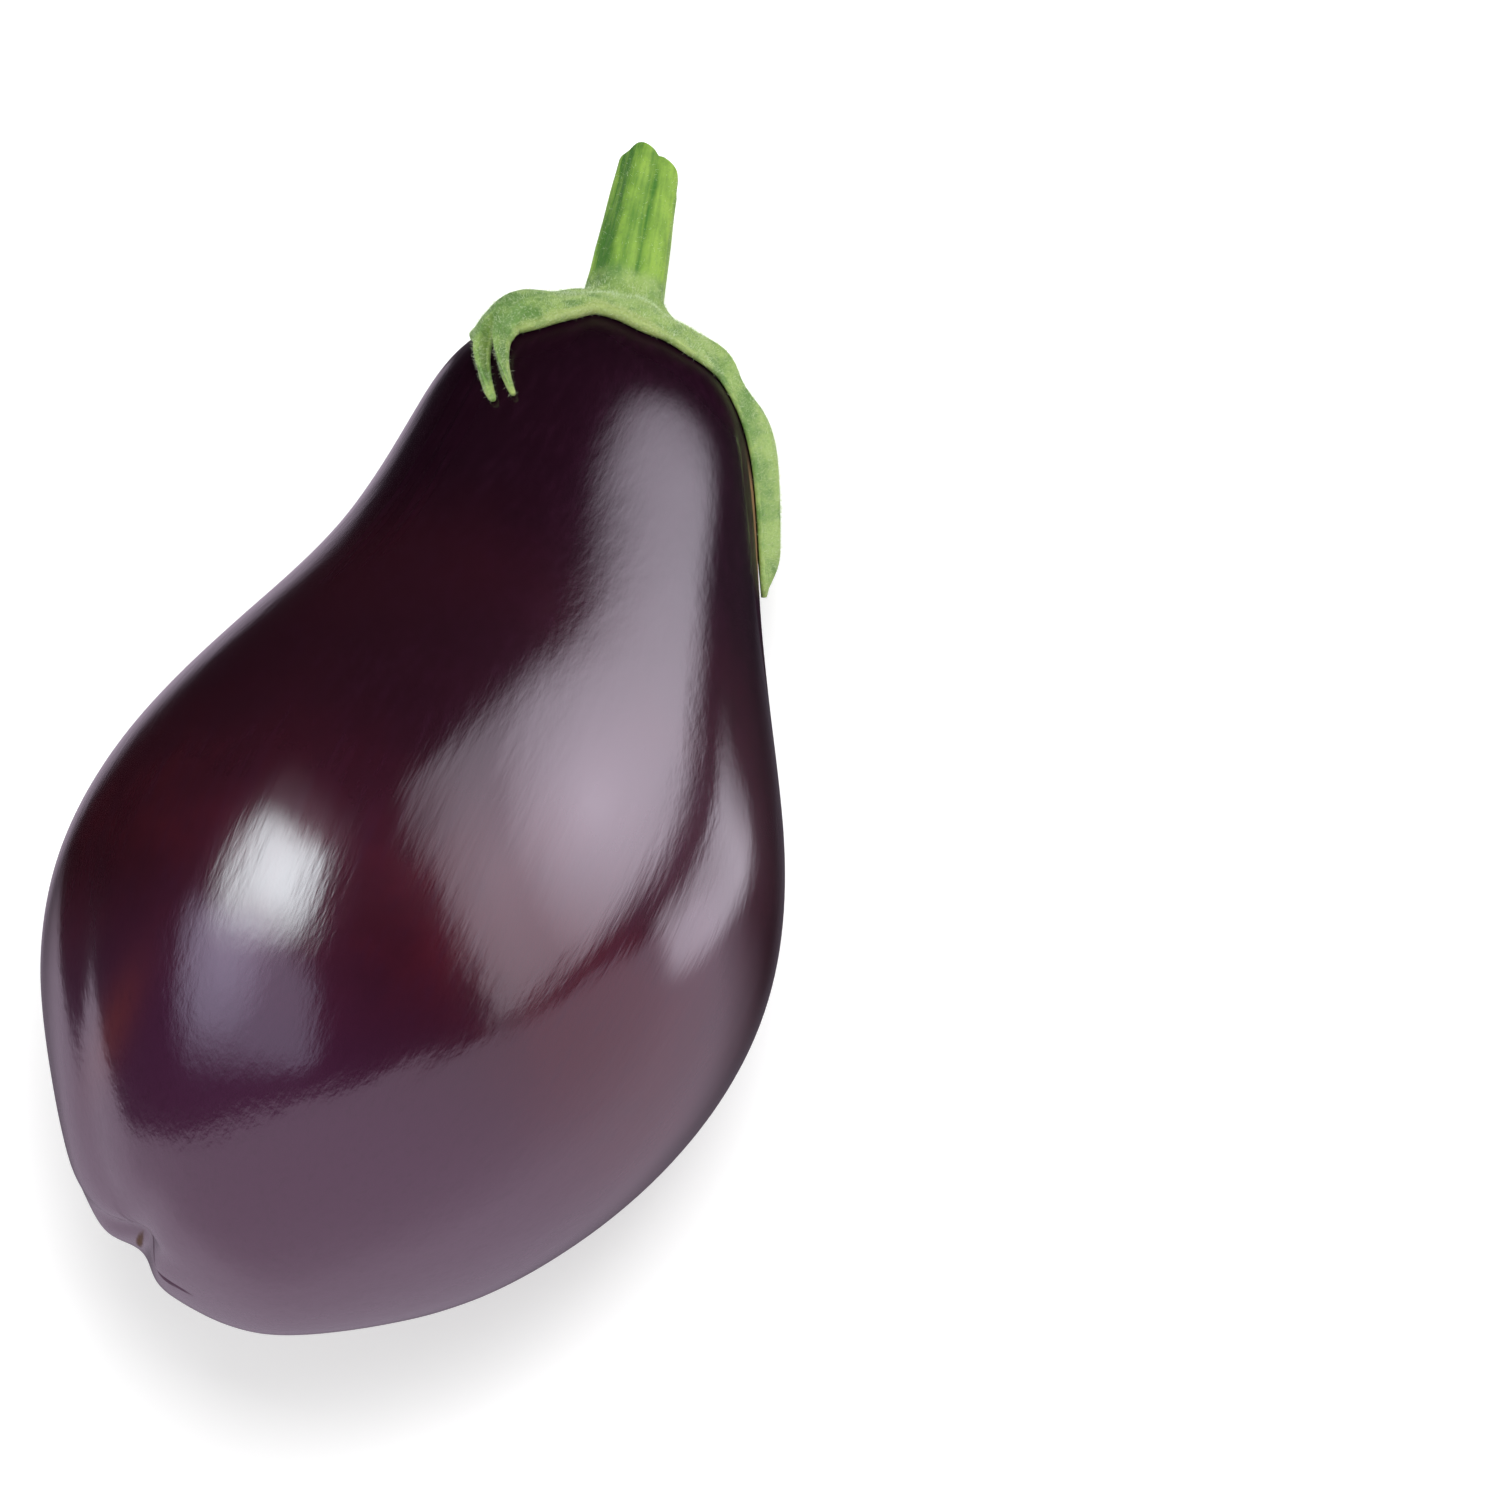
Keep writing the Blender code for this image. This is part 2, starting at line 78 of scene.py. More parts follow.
SKIN_SETBACK = 0.14 * MM
NORMAL_STEP = 1e-4
POLE_MARGIN = 0.02
FLAT_EDGE_SOFTNESS = 0.25 * MM
BELLY_MIDDLE = 46 * MM
BELLY_HALF_WIDTH = 20 * MM
BLOSSOM_FADE_END = 48 * MM
BLOSSOM_FADE = 30 * MM
NECK_START = 92 * MM
NECK_FADE = 35 * MM
FLUSH_PLACE = (22.8 * MM, 23.1 * MM, 25.0 * MM)
FLUSH_HALF_SIZE = (10 * MM, 3 * MM, 12 * MM)
SCAR_HALF_WIDTH = 1.1 * MM
SCAR_HALF_LENGTH = 7 * MM
FRUIT_RINGS = 220
FRUIT_SEGMENTS = 400

# Swells of the grown skin: height, wavelength and random seed
SWELLS = (0.07 * MM, 26 * MM, 3)
FINE_SWELLS = (0.012 * MM, 7 * MM, 5)
FINE_SWELLS_STRETCH = (0.3, 1, 1)
SWELL_WAVES = 7
SWELL_WAVELENGTHS = (0.7, 1.5)


def smoothstep(value):
    value = np.clip(value, 0.0, 1.0)
    return value * value * (3.0 - 2.0 * value)


def bell(offset, half_width):
    return np.exp(-(offset / half_width) ** 2)


def turn_between(azimuth, middle):
    """Smallest signed angle from middle to azimuth."""
    return (azimuth - middle + math.pi) % (2 * math.pi) - math.pi


def smooth_curve(values, station):
    """Cubic curve through values at even station steps, level at both ends."""
    values = np.asarray(values)
    last = len(values) - 1
    step = math.pi / last
    bend_matrix = 4 * np.eye(last + 1) + np.eye(last + 1, k=1) + np.eye(last + 1, k=-1)
    bend_matrix[0, 0] = bend_matrix[last, last] = 2
    rises = np.diff(values, prepend=values[0], append=values[-1])
    bends = np.linalg.solve(bend_matrix, 6 / step ** 2 * np.diff(rises))
    index = np.clip((station / step).astype(int), 0, last - 1)
    after = station / step - index
    before = 1 - after
    bow = (before ** 3 - before) * bends[index] + (after ** 3 - after) * bends[index + 1]
    return before * values[index] + after * values[index + 1] + bow * step ** 2 / 6


def fullness_values():
    """Half girths divided by those of a ball, with the end radii at either end."""
    steps = len(HALF_GIRTHS) + 1
    inner = [girth / math.sin(math.pi * (i + 1) / steps) for i, girth in enumerate(HALF_GIRTHS)]
    return [BLOSSOM_END_RADIUS] + inner + [STEM_END_RADIUS]


def smooth_skin(station, azimuth):
    """Points of the skin without its crease; station 0 is the blossom end and pi the stem end."""
    along = (1 - np.cos(station)) / 2
    radius = np.sin(station) * smooth_curve(fullness_values(), station)
    side = smooth_curve(SIDE_SHIFTS, station)
    turn = BLOSSOM_END_TURN + (STEM_END_TURN - BLOSSOM_END_TURN) * along
    across = radius * np.cos(azimuth)
    x = FRUIT_LENGTH * along - np.sin(turn) * across
    y = side + np.cos(turn) * across
    return np.stack([x, y, radius * np.sin(azimuth)], axis=-1)


def skin_normal(station, azimuth):
    """Outward direction at points of the skin, away from the two poles."""
    step = NORMAL_STEP
    station = np.clip(station, POLE_MARGIN, math.pi - POLE_MARGIN)
    along = smooth_skin(station + step, azimuth) - smooth_skin(station - step, azimuth)
    around = smooth_skin(station, azimuth + step) - smooth_skin(station, azimuth - step)
    normal = np.cross(around, along)
    return normal / np.linalg.norm(normal, axis=-1, keepdims=True)


def creased_skin(station, azimuth):
    """The skin with the crease and the soft valley of the blossom end pressed in."""
    points = smooth_skin(station, azimuth)
    x, y, z = np.moveaxis(points, -1, 0)
    y_off = y - CREASE_MIDDLE[0]
    z_off = z - CREASE_MIDDLE[1]
    lengthwise = y_off * math.cos(CREASE_DIRECTION) + z_off * math.sin(CREASE_DIRECTION)
    crosswise = z_off * math.cos(CREASE_DIRECTION) - y_off * math.sin(CREASE_DIRECTION)
    dimple_y = y - DIMPLE_PLACE[0]
    dimple_z = z - DIMPLE_PLACE[1]
    dimple = DIMPLE_DEPTH * bell(dimple_y, DIMPLE_HALF_WIDTH) * bell(dimple_z, DIMPLE_HALF_LENGTH)
    swelling = SWELLING_HEIGHT * bell(np.hypot(dimple_y, dimple_z), SWELLING_RADIUS)
    crease = CREASE_DEPTH * bell(crosswise, CREASE_HALF_WIDTH) * bell(lengthwise, CREASE_HALF_LENGTH)
    radius = np.hypot(y, z)
    valley_offset = radius * turn_between(np.arctan2(z, y), VALLEY_AZIMUTH)
    valley = VALLEY_DEPTH * bell(valley_offset, VALLEY_HALF_WIDTH) * smoothstep(2 - x / VALLEY_END)
    valley *= smoothstep(radius / (2 * VALLEY_HALF_WIDTH) - 1)
    pressed = (crease + dimple - swelling) * bell(x, END_FADE) + valley
    return points - pressed[..., None] * skin_normal(station, azimuth)


def gentle_swells(points, height, wavelength, seed):
    """Smooth uneven heights up to about the given one, as on anything that grew."""
    draw = np.random.default_rng(seed)
    total = np.zeros(points.shape[:-1])
    for _ in range(SWELL_WAVES):
        direction = draw.normal(size=3)
        wave = wavelength * draw.uniform(*SWELL_WAVELENGTHS)
        direction *= 2 * math.pi / (wave * np.linalg.norm(direction))
        total += np.sin(points @ direction + draw.uniform(0, 2 * math.pi))
    return height * (total / (SWELL_WAVES / 2))


def laid_down(points):
    """Points of the growing fruit turned and moved to where the fruit lies."""
    turned = points @ LYING_TURN.T
    return turned + LYING_PLACE


def ball_skin(name, grid):
    """A closed mesh over rings of points; the first and last ring are single points."""
    rings, segments = grid.shape[0] - 1, grid.shape[1]
    inner = grid[1:-1].reshape(-1, 3)
    points = np.concatenate([grid[0, :1], inner, grid[-1, :1]])
    last = len(points) - 1
    column = np.arange(segments)
    following = (column + 1) % segments
    faces = [(0, 1 + b, 1 + a) for a, b in zip(column, following)]
    for ring in range(rings - 2):
        upper = 1 + ring * segments
        lower = upper + segments
        faces.extend(zip(upper + column, upper + following, lower + following, lower + column))
    base = 1 + (rings - 2) * segments
    faces.extend((last, base + a, base + b) for a, b in zip(column, following))
    mesh = bpy.data.meshes.new(name)
    mesh.from_pydata(points.tolist(), [], [tuple(map(int, face)) for face in faces])
    mesh.shade_smooth()
    made = bpy.data.objects.new(name, mesh)
    bpy.context.scene.collection.objects.link(made)
    return made


def ring_values(grid_values):
    """Values per point in the order in which ball_skin stores its points."""
    inner = grid_values[1:-1].reshape(-1, *grid_values.shape[2:])
    return np.concatenate([grid_values[0, :1], inner, grid_values[-1, :1]])


def store_vector(made, name, grid_values):
    layer = made.data.attributes.new(name, "FLOAT_VECTOR", "POINT")
    layer.data.foreach_set("vector", ring_values(grid_values).astype(np.float32).ravel())


def store_value(made, name, grid_values):
    layer = made.data.attributes.new(name, "FLOAT", "POINT")
    layer.data.foreach_set("value", ring_values(grid_values).astype(np.float32).ravel())


def face_outward(made):
    """Turns the faces the other way where the closed mesh is inside out."""
    mesh = made.data
    mesh.calc_loop_triangles()
    corners = np.array([vertex.co for vertex in mesh.vertices])
    triangles = np.array([tuple(face.vertices) for face in mesh.loop_triangles])
    a, b, c = corners[triangles].transpose(1, 0, 2)
    if np.einsum("ij,ij->i", a, np.cross(b, c)).sum() < 0:
        mesh.flip_normals()


LYING_TURN = np.array(Matrix.Rotation(NOSE_DIP, 3, "Y") @ Matrix.Rotation(ROLL, 3, "X"))
even = np.linspace(0, math.pi, FRUIT_RINGS + 1)
fruit_station, fruit_azimuth = np.meshgrid(
    even - END_CROWDING * np.sin(2 * even),
    2 * math.pi * np.arange(FRUIT_SEGMENTS) / FRUIT_SEGMENTS,
    indexing="ij",
)
grown = creased_skin(fruit_station, fruit_azimuth)
grown_turned = grown @ LYING_TURN.T
cad_low, cad_high = (np.array(corner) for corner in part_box("fruit"))
turned_low, turned_high = grown_turned.min(axis=(0, 1)), grown_turned.max(axis=(0, 1))
LYING_PLACE = np.array([
    cad_low[0] - turned_low[0],
    (cad_low[1] + cad_high[1] - turned_low[1] - turned_high[1]) / 2,
    cad_high[2] - turned_high[2],
])
unevenness = gentle_swells(grown, *SWELLS) + gentle_swells(grown * FINE_SWELLS_STRETCH, *FINE_SWELLS)
unevenness -= SKIN_SETBACK
fruit_points = laid_down(grown + unevenness[..., None] * skin_normal(fruit_station, fruit_azimuth))
height = fruit_points[..., 2]
fruit_points[..., 2] = (height + np.sqrt(height ** 2 + FLAT_EDGE_SOFTNESS ** 2)) / 2
fruit_skin = ball_skin("fruit_skin", fruit_points)
face_outward(fruit_skin)
store_vector(fruit_skin, "grown_place", grown)
store_value(fruit_skin, "belly_share", bell(grown[..., 0] - BELLY_MIDDLE, BELLY_HALF_WIDTH))
store_value(fruit_skin, "neck_share", smoothstep((grown[..., 0] - NECK_START) / NECK_FADE))
flush = np.prod(bell(grown - np.array(FLUSH_PLACE), np.array(FLUSH_HALF_SIZE)), axis=-1)
store_value(fruit_skin, "flush_share", flush)
# Partly painted light: the blossom end is lighter purple, partly its own paler skin and partly standing in
# for light thrown up by the pale floor
store_value(fruit_skin, "blossom_light_share", smoothstep((BLOSSOM_FADE_END - grown[..., 0]) / BLOSSOM_FADE))
scar = bell(grown[..., 1] - DIMPLE_PLACE[0], SCAR_HALF_WIDTH)
scar *= bell(grown[..., 2] - DIMPLE_PLACE[1], SCAR_HALF_LENGTH)
store_value(fruit_skin, "blossom_scar", scar * bell(grown[..., 0], END_FADE))


def give(tree, socket, value):
    """Links another node's output to a socket, or sets the socket's own value."""
    if isinstance(value, bpy.types.NodeSocket):
        tree.links.new(value, socket)
    elif socket.type == "RGBA":
        socket.default_value = (*value, 1.0)
    else:
        socket.default_value = value


def node(tree, kind, settings=None, **inputs):
    """Adds a node; each input is given a value, or another node's output to link."""
    made = tree.nodes.new(kind)
    for name, value in (settings or {}).items():
        setattr(made, name, value)
    for name, value in inputs.items():
        give(tree, made.inputs[name.replace("_", " ")], value)
    return made


def new_material(name, **inputs):
    """A material, its tree and its shader, with what is the same all over set on the shader."""
    made = bpy.data.materials.new(name)
    made.use_nodes = True
    tree = made.node_tree
    tree.nodes.clear()
    shader = node(tree, "ShaderNodeBsdfPrincipled", **inputs)
    node(tree, "ShaderNodeOutputMaterial", Surface=shader.outputs["BSDF"])
    return made, tree, shader


def attribute(tree, name, output="Fac"):
    return node(tree, "ShaderNodeAttribute", {"attribute_name": name}).outputs[output]


def stretched(tree, place, stretch):
    """Coordinates in pattern sizes: larger numbers make a finer pattern."""
    return node(tree, "ShaderNodeMapping", Vector=place, Scale=stretch).outputs["Vector"]


def noise(tree, place, scale, detail=3.0, roughness=0.5):
    made = node(tree, "ShaderNodeTexNoise", Vector=place, Scale=scale, Detail=detail, Roughness=roughness)
    return made.outputs["Fac"]


def ramp(tree, value, low, high, low_value=0.0, high_value=1.0, form="SMOOTHSTEP"):
    """A value mapped between two levels."""
    made = node(tree, "ShaderNodeMapRange", {"interpolation_type": form}, Value=value, From_Min=low,
                From_Max=high, To_Min=low_value, To_Max=high_value)
    return made.outputs["Result"]


def mixed(tree, factor, first, second):
    """First colour where the factor is 0 and second where it is 1."""
    made = node(tree, "ShaderNodeMix", {"data_type": "RGBA"}, Factor=factor)
    give(tree, made.inputs[6], first)
    give(tree, made.inputs[7], second)
    return made.outputs[2]


def reckon(tree, operation, first, second):
    made = node(tree, "ShaderNodeMath", {"operation": operation})
    give(tree, made.inputs[0], first)
    give(tree, made.inputs[1], second)
    return made.outputs["Value"]


def bump(tree, height, strength, distance, normal=None):
    made = node(tree, "ShaderNodeBump", Height=height, Strength=strength, Distance=distance)
    if normal is not None:
        give(tree, made.inputs["Normal"], normal)
    return made.outputs["Normal"]


def growth_marks_group():
    """Marks that growth leaves on skin and leaf: soft blotches, streaks and a fine grain."""
    group = bpy.data.node_groups.new("growth_marks", "ShaderNodeTree")
    for name, kind in (("Place", "Vector"), ("Blotch Scale", "Float"), ("Streak Place", "Vector"),
                       ("Grain Scale", "Float")):
        group.interface.new_socket(name, in_out="INPUT", socket_type="NodeSocket" + kind)
    for name in ("Blotches", "Streaks", "Grain"):
        group.interface.new_socket(name, in_out="OUTPUT", socket_type="NodeSocketFloat")
    given = node(group, "NodeGroupInput").outputs
    node(group, "NodeGroupOutput",
         Blotches=noise(group, given["Place"], given["Blotch Scale"], 4.0, 0.6),
         Streaks=noise(group, given["Streak Place"], 1.0, 3.0, 0.6),
         Grain=noise(group, given["Place"], given["Grain Scale"], 2.0, 0.6))
    return group


GROWTH_MARKS = growth_marks_group()


def growth_marks(tree, place, blotch_scale, streak_place, grain_scale):
    made = node(tree, "ShaderNodeGroup", {"node_tree": GROWTH_MARKS}, Place=place,
                Blotch_Scale=blotch_scale, Streak_Place=streak_place, Grain_Scale=grain_scale)
    return made.outputs["Blotches"], made.outputs["Streaks"], made.outputs["Grain"]


SKIN_DARK = (0.0125, 0.0026, 0.0060)
SKIN_RED = (0.038, 0.004, 0.008)
SKIN_FLUSH = (0.09, 0.016, 0.016)
SKIN_NECK = (0.0065, 0.0014, 0.0045)
SKIN_STREAK = (0.022, 0.005, 0.014)
SKIN_BLOSSOM_END_LIT = (0.036, 0.0085, 0.026)
SKIN_BARED = (0.20, 0.125, 0.055)
SCAR_CORK = (0.10, 0.060, 0.032)

# Sizes of the skin's patterns, as repeats per metre: everywhere, or along the fruit and across it
SKIN_BLOTCHES = 34.0
SKIN_CLOUDS = 14.0
SKIN_GRAIN = 2400.0
SKIN_STREAKS = (55.0, 800.0, 800.0)
SKIN_DENTS = (45.0, 120.0, 120.0)
SKIN_WRINKLES = (38.0, 330.0, 330.0)
SKIN_BRUSHING = (150.0, 1100.0, 1100.0)


def aubergine_skin_material():
    made, tree, shader = new_material("aubergine_skin", IOR=1.5, Specular_IOR_Level=0.06,
                                      Specular_Tint=(1.0, 0.15, 0.6), Coat_Roughness=0.14, Coat_IOR=1.48)
    place = attribute(tree, "grown_place", "Vector")
    streak_place = stretched(tree, place, SKIN_STREAKS)
    clouds, streaks, grain = growth_marks(tree, place, SKIN_BLOTCHES, streak_place, SKIN_GRAIN)
    wide_clouds = noise(tree, place, SKIN_CLOUDS, 2.0, 0.5)
    redness = reckon(tree, "MULTIPLY", ramp(tree, wide_clouds, 0.35, 0.7), 0.45)
    redness = reckon(tree, "ADD", redness, reckon(tree, "MULTIPLY", attribute(tree, "belly_share"), 0.9))
    redness = reckon(tree, "MULTIPLY", redness, ramp(tree, clouds, 0.3, 0.65, 0.35, 1.0))
    colour = mixed(tree, redness, SKIN_DARK, SKIN_RED)
    # Partly painted light: the lighter purple of the blossom end, its own paler skin and the floor's light
    # together
    colour = mixed(tree, attribute(tree, "blossom_light_share"), colour, SKIN_BLOSSOM_END_LIT)
    colour = mixed(tree, reckon(tree, "MULTIPLY", attribute(tree, "neck_share"), 0.85), colour, SKIN_NECK)
    colour = mixed(tree, reckon(tree, "MULTIPLY", attribute(tree, "flush_share"), 0.65), colour, SKIN_FLUSH)
    colour = mixed(tree, ramp(tree, streaks, 0.45, 0.8, 0.0, 0.35), colour, SKIN_STREAK)
    bared = attribute(tree, "bared_share")
    colour = mixed(tree, bared, colour, SKIN_BARED)
    scar = reckon(tree, "MULTIPLY", attribute(tree, "blossom_scar"), reckon(tree, "ADD", clouds, 0.6))
    scar = ramp(tree, scar, 0.5, 0.95)
    colour = mixed(tree, scar, colour, SCAR_CORK)
    give(tree, shader.inputs["Base Color"], colour)
    patchy = reckon(tree, "MULTIPLY", reckon(tree, "ADD", clouds, streaks), 0.5)
    dull = reckon(tree, "MAXIMUM", scar, bared)
    roughness = ramp(tree, patchy, 0.35, 0.65, 0.38, 0.46)
    roughness = reckon(tree, "ADD", roughness, reckon(tree, "MULTIPLY", dull, 0.3))
    give(tree, shader.inputs["Roughness"], roughness)
    covered = reckon(tree, "MAXIMUM", dull, attribute(tree, "under_cap"))
    give(tree, shader.inputs["Coat Weight"], ramp(tree, covered, 0.0, 1.0, 1.0, 0.03))
    dents = noise(tree, stretched(tree, place, SKIN_DENTS), 1.0, 2.0, 0.5)
    wrinkles = noise(tree, stretched(tree, place, SKIN_WRINKLES), 1.0, 3.0, 0.65)
    brushing = noise(tree, stretched(tree, place, SKIN_BRUSHING), 1.0, 2.0, 0.6)
    normal = bump(tree, dents, 0.16, 0.0006)
    normal = bump(tree, wrinkles, 0.38, 0.0001, normal)
    normal = bump(tree, brushing, 0.22, 0.0001, normal)
    give(tree, shader.inputs["Coat Normal"], normal)
    give(tree, shader.inputs["Normal"], bump(tree, grain, 0.10, 0.00006, normal))
    return made


fruit_skin.data.materials.append(aubergine_skin_material())
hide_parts("fruit")
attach(fruit_skin, "root")


# Cap and stem: the calyx, a fleshy green sheet that hugs the fruit's shoulder and runs out in
# lobes, and the ribbed stem that it grew from, cut off aslant with a knife. Both are one
# growth, softly felted, paler along the rim and on the fresh cut.

STEM_LEAN = math.radians(13.6)
STEM_LENGTH = 25.45 * MM
STEM_FOOT_HEIGHT = 5 * MM
STEM_FOOT_RADIUS = 6.1 * MM
STEM_TOP_RADIUS = 4.9 * MM
STEM_RIB_COUNT = 5
STEM_RIB_HEIGHT = 0.35 * MM
STEM_GROOVE_AZIMUTH = math.radians(98)
STEM_GROOVE_DEPTH = 0.4 * MM
STEM_GROOVE_HALF_WIDTH = math.radians(7)
STEM_ROUGHNESS = 0.06 * MM
STEM_SWELLS = (1.0, 3.2 * MM, 11)
STEM_SWELLS_STRETCH = (0.35, 1, 1)
# Painted shade over one whole side of the stem and along its groove: where it lies and how wide
STEM_SHADED_AZIMUTH = math.radians(38)
STEM_SHADED_HALF_WIDTH = math.radians(34)
GROOVE_SHADE_HALF_WIDTH = math.radians(4)
STEM_FELT_SHARE = 0.22
STEM_FELT_END = 0.9
CUT_SLOPE_BACK = math.tan(math.radians(28))
CUT_SLOPE_SIDE = math.tan(math.radians(22))
CUT_EDGE_ROUND = 0.75 * MM
FLARE_DROP = 2 * MM
FLARE_SWEEP = 1.5 * MM
FLARE_PROBE = 1 * MM
SKIN_GAP = 0.35 * MM
RIM_GAP = 0.05 * MM
RIM_ROUNDNESS = 0.7
RIM_PALE_WIDTH = 2.4 * MM
RIM_PALE_AZIMUTH = math.radians(82)
RIM_PALE_HALF_WIDTH = math.radians(36)
FIBRE_CIRCLE = 5.5 * MM
RIM_HUGS_OVER = 4 * MM
CAP_THICKNESS = 2.1 * MM
CAP_EDGE_THICKNESS = 0.75 * MM
CAP_FRONT_THICKENING = 1.2 * MM
CAP_FRONT_AZIMUTH = math.radians(80)
CAP_FRONT_HALF_WIDTH = math.radians(40)
LOBE_TIP_THICKNESS = 0.9 * MM
LOBE_THINS_OVER = 15 * MM
CAP_THINS_OVER = 7 * MM
CAP_INNER_REACH = 9 * MM
CAP_EVEN_REACH = 16.5 * MM
CAP_RIM_REACH = 22 * MM
CAP_NOTCH_AZIMUTH = math.radians(78)
CAP_NOTCH_HALF_WIDTH = math.radians(20)
CAP_NOTCH_DEPTH = 2.2 * MM
CAP_BACK_AZIMUTH = math.radians(272)
CAP_BACK_HALF_WIDTH = math.radians(63)
CAP_BACK_REACH = 3.5 * MM
CAP_RIDGE_HEIGHT = 0.45 * MM
CAP_RIDGE_HALF_WIDTH = math.radians(9)
CAP_COLUMNS = 560
CUT_RINGS = 14
CUT_EDGE_RINGS = 4
STEM_RINGS = 34
FLARE_RINGS = 14
UPPER_RINGS = 56
RIM_RINGS = 6
UNDER_RINGS = 14
LIP_LEAST_SHARE = 0.25
RIM_FELT_SHARE = 0.3
REACH_STEPS = 600
REACH_AZIMUTHS = 181
REACH_END_STATION = math.pi / 3

# How many waves go round the cap, where they start in radians, and their height
CAP_PUCKERS = [(1, -2.6, 0.25 * MM), (7, 1.0, 0.22 * MM), (13, 2.2, 0.16 * MM)]
RIM_WAVES = [(11, 0.5, 0.25 * MM), (17, 1.9, 0.15 * MM)]

# Azimuth in degrees, spread to either side in degrees, extra reach in mm, power, lift in mm
LOBES = [
    (40, 30, 38, 9.5, 0.75, 0.2),
    (171, 26, 44, 35.8, 2.0, 0.9),
    (243, 32, 34, 14.0, 0.95, 0.2),
    (308, 34, 36, 15.5, 1.0, 0.2),
]
LOBE_FOOT_SHARE = 0.25
LOBE_LIFT_SKEW = 0.7
LOBE_TIP_ROUND_DEGREES = 2.0

# Knuckles, and hollows with a height below 0: azimuth in degrees, reach, radius and height in mm
KNUCKLES = [
    (40, 22, 4, 0.85),
    (43, 15.5, 4.5, -0.75),
    (128, 10, 4, -1.0),
    (156, 17.5, 4, 0.9),
    (160, 22.8, 2.6, -0.5),
    (168, 29, 6, 0.5),
]
KNUCKLE_CIRCLE = 20 * MM
FINGERS = [(38.9, 4.2, 43.0), (46.6, 4.8, 41.7)]
FINGER_TIP_START = 0.1
FINGER_TIP_SPAN = 0.45
FINGER_TIP_PART = 0.62
FINGER_ROOT_REACH = 29 * MM
FINGER_BEND = math.radians(16)
FINGER_BEND_REACH = 13.5 * MM
FINGER_BEND_POWER = 1.3
FINGER_BEND_HALF_WIDTH = math.radians(17)
FINGER_MIDDLE = math.radians(43)
FINGER_CROWDING = 5.0
FINGER_CROWDING_WIDTH = math.radians(10)
CROWDING_STEPS = 3601
BARED_REACH = 46 * MM
BARED_HALF_LENGTH = 7 * MM
BARED_AZIMUTH = math.radians(148)
BARED_TURN = math.radians(16)
BARED_WIDTH = 3.2 * MM
BARED_SOFTNESS = 0.4 * MM
COAT_FADE_END = 7 * MM
COAT_FADE = 4 * MM
LOBE_COAT_FADE = 6 * MM
LOBE_COAT_TURN = math.radians(34)


def crowded_azimuths(columns):
    """Azimuths of the cap's columns, crowded together where the finger tips are."""
    fine = np.linspace(0, 2 * math.pi, CROWDING_STEPS)
    density = 1 + FINGER_CROWDING * bell(turn_between(fine, FINGER_MIDDLE), FINGER_CROWDING_WIDTH)
    share = np.concatenate([[0], np.cumsum((density[1:] + density[:-1]) / 2)])
    return np.interp(np.arange(columns) / columns, share / share[-1], fine)


def lobe_share(azimuth, lobe):
    """1 at a lobe's tip, falling softly to 0 at either foot."""
    middle, before, after, _, power, _ = lobe
    offset = np.degrees(turn_between(azimuth, math.radians(middle)))
    spread = np.where(offset < 0, before, after)
    share = np.clip(1 - np.hypot(offset, LOBE_TIP_ROUND_DEGREES) / spread, 0, 1)
    return share ** power * smoothstep(share / LOBE_FOOT_SHARE)


def waves(azimuth, terms):
    """Sum of waves round the cap, each given by its count, start and height."""
    return sum(height * np.cos(count * azimuth + start) for count, start, height in terms)


def rim_reach(azimuth):
    """How far the cap's edge lies from the stem end of the fruit, measured along the skin."""
    notch = bell(turn_between(azimuth, CAP_NOTCH_AZIMUTH), CAP_NOTCH_HALF_WIDTH)
    back = bell(turn_between(azimuth, CAP_BACK_AZIMUTH), CAP_BACK_HALF_WIDTH)
    reach = CAP_RIM_REACH - CAP_NOTCH_DEPTH * notch + CAP_BACK_REACH * back
    reach = reach + waves(azimuth, RIM_WAVES)
    for lobe in LOBES:
        reach = reach + lobe[3] * MM * lobe_share(azimuth, lobe)
    for middle, half_width, finger_reach in FINGERS:
        offset = np.abs(np.degrees(turn_between(azimuth, math.radians(middle)))) / half_width
        finger = FINGER_ROOT_REACH + (finger_reach * MM - FINGER_ROOT_REACH) * finger_taper(offset)
        reach = np.where(offset < 1, np.maximum(reach, finger), reach)
    return reach


def finger_taper(offset):
    """Reach share across a finger: a slim tip on a broader root."""
    slim = 1 - smoothstep((offset - FINGER_TIP_START) / FINGER_TIP_SPAN)
    root = 1 - smoothstep(offset)
    return FINGER_TIP_PART * slim + (1 - FINGER_TIP_PART) * root


def stations_at(reach, azimuth):
    """Stations of skin points that lie a given way along the skin from the stem end."""
    fine_station = np.linspace(math.pi, REACH_END_STATION, REACH_STEPS)
    fine_azimuth = np.linspace(0, 2 * math.pi, REACH_AZIMUTHS)
    lines = smooth_skin(*np.meshgrid(fine_station, fine_azimuth, indexing="ij"))
    steps = np.linalg.norm(np.diff(lines, axis=0), axis=-1)
    ways = np.concatenate([np.zeros((1, len(fine_azimuth))), np.cumsum(steps, axis=0)])
    place = (azimuth % (2 * math.pi)) / (2 * math.pi) * (len(fine_azimuth) - 1)
    left = np.minimum(place.astype(int), len(fine_azimuth) - 2)
    found = np.array([np.interp(reach, ways[:, j], fine_station) for j in range(len(fine_azimuth))])
    low = np.take_along_axis(found, left[None], axis=0)[0]
    high = np.take_along_axis(found, left[None] + 1, axis=0)[0]
    return low + (high - low) * (place - left)


def bent_azimuth(reach, azimuth):
    """Azimuth after the finger tips have curled round the fruit."""
    share = np.clip((reach - FINGER_ROOT_REACH) / FINGER_BEND_REACH, 0, 2) ** FINGER_BEND_POWER
    near = bell(turn_between(azimuth, FINGER_MIDDLE), FINGER_BEND_HALF_WIDTH)
    return azimuth + FINGER_BEND * share * near


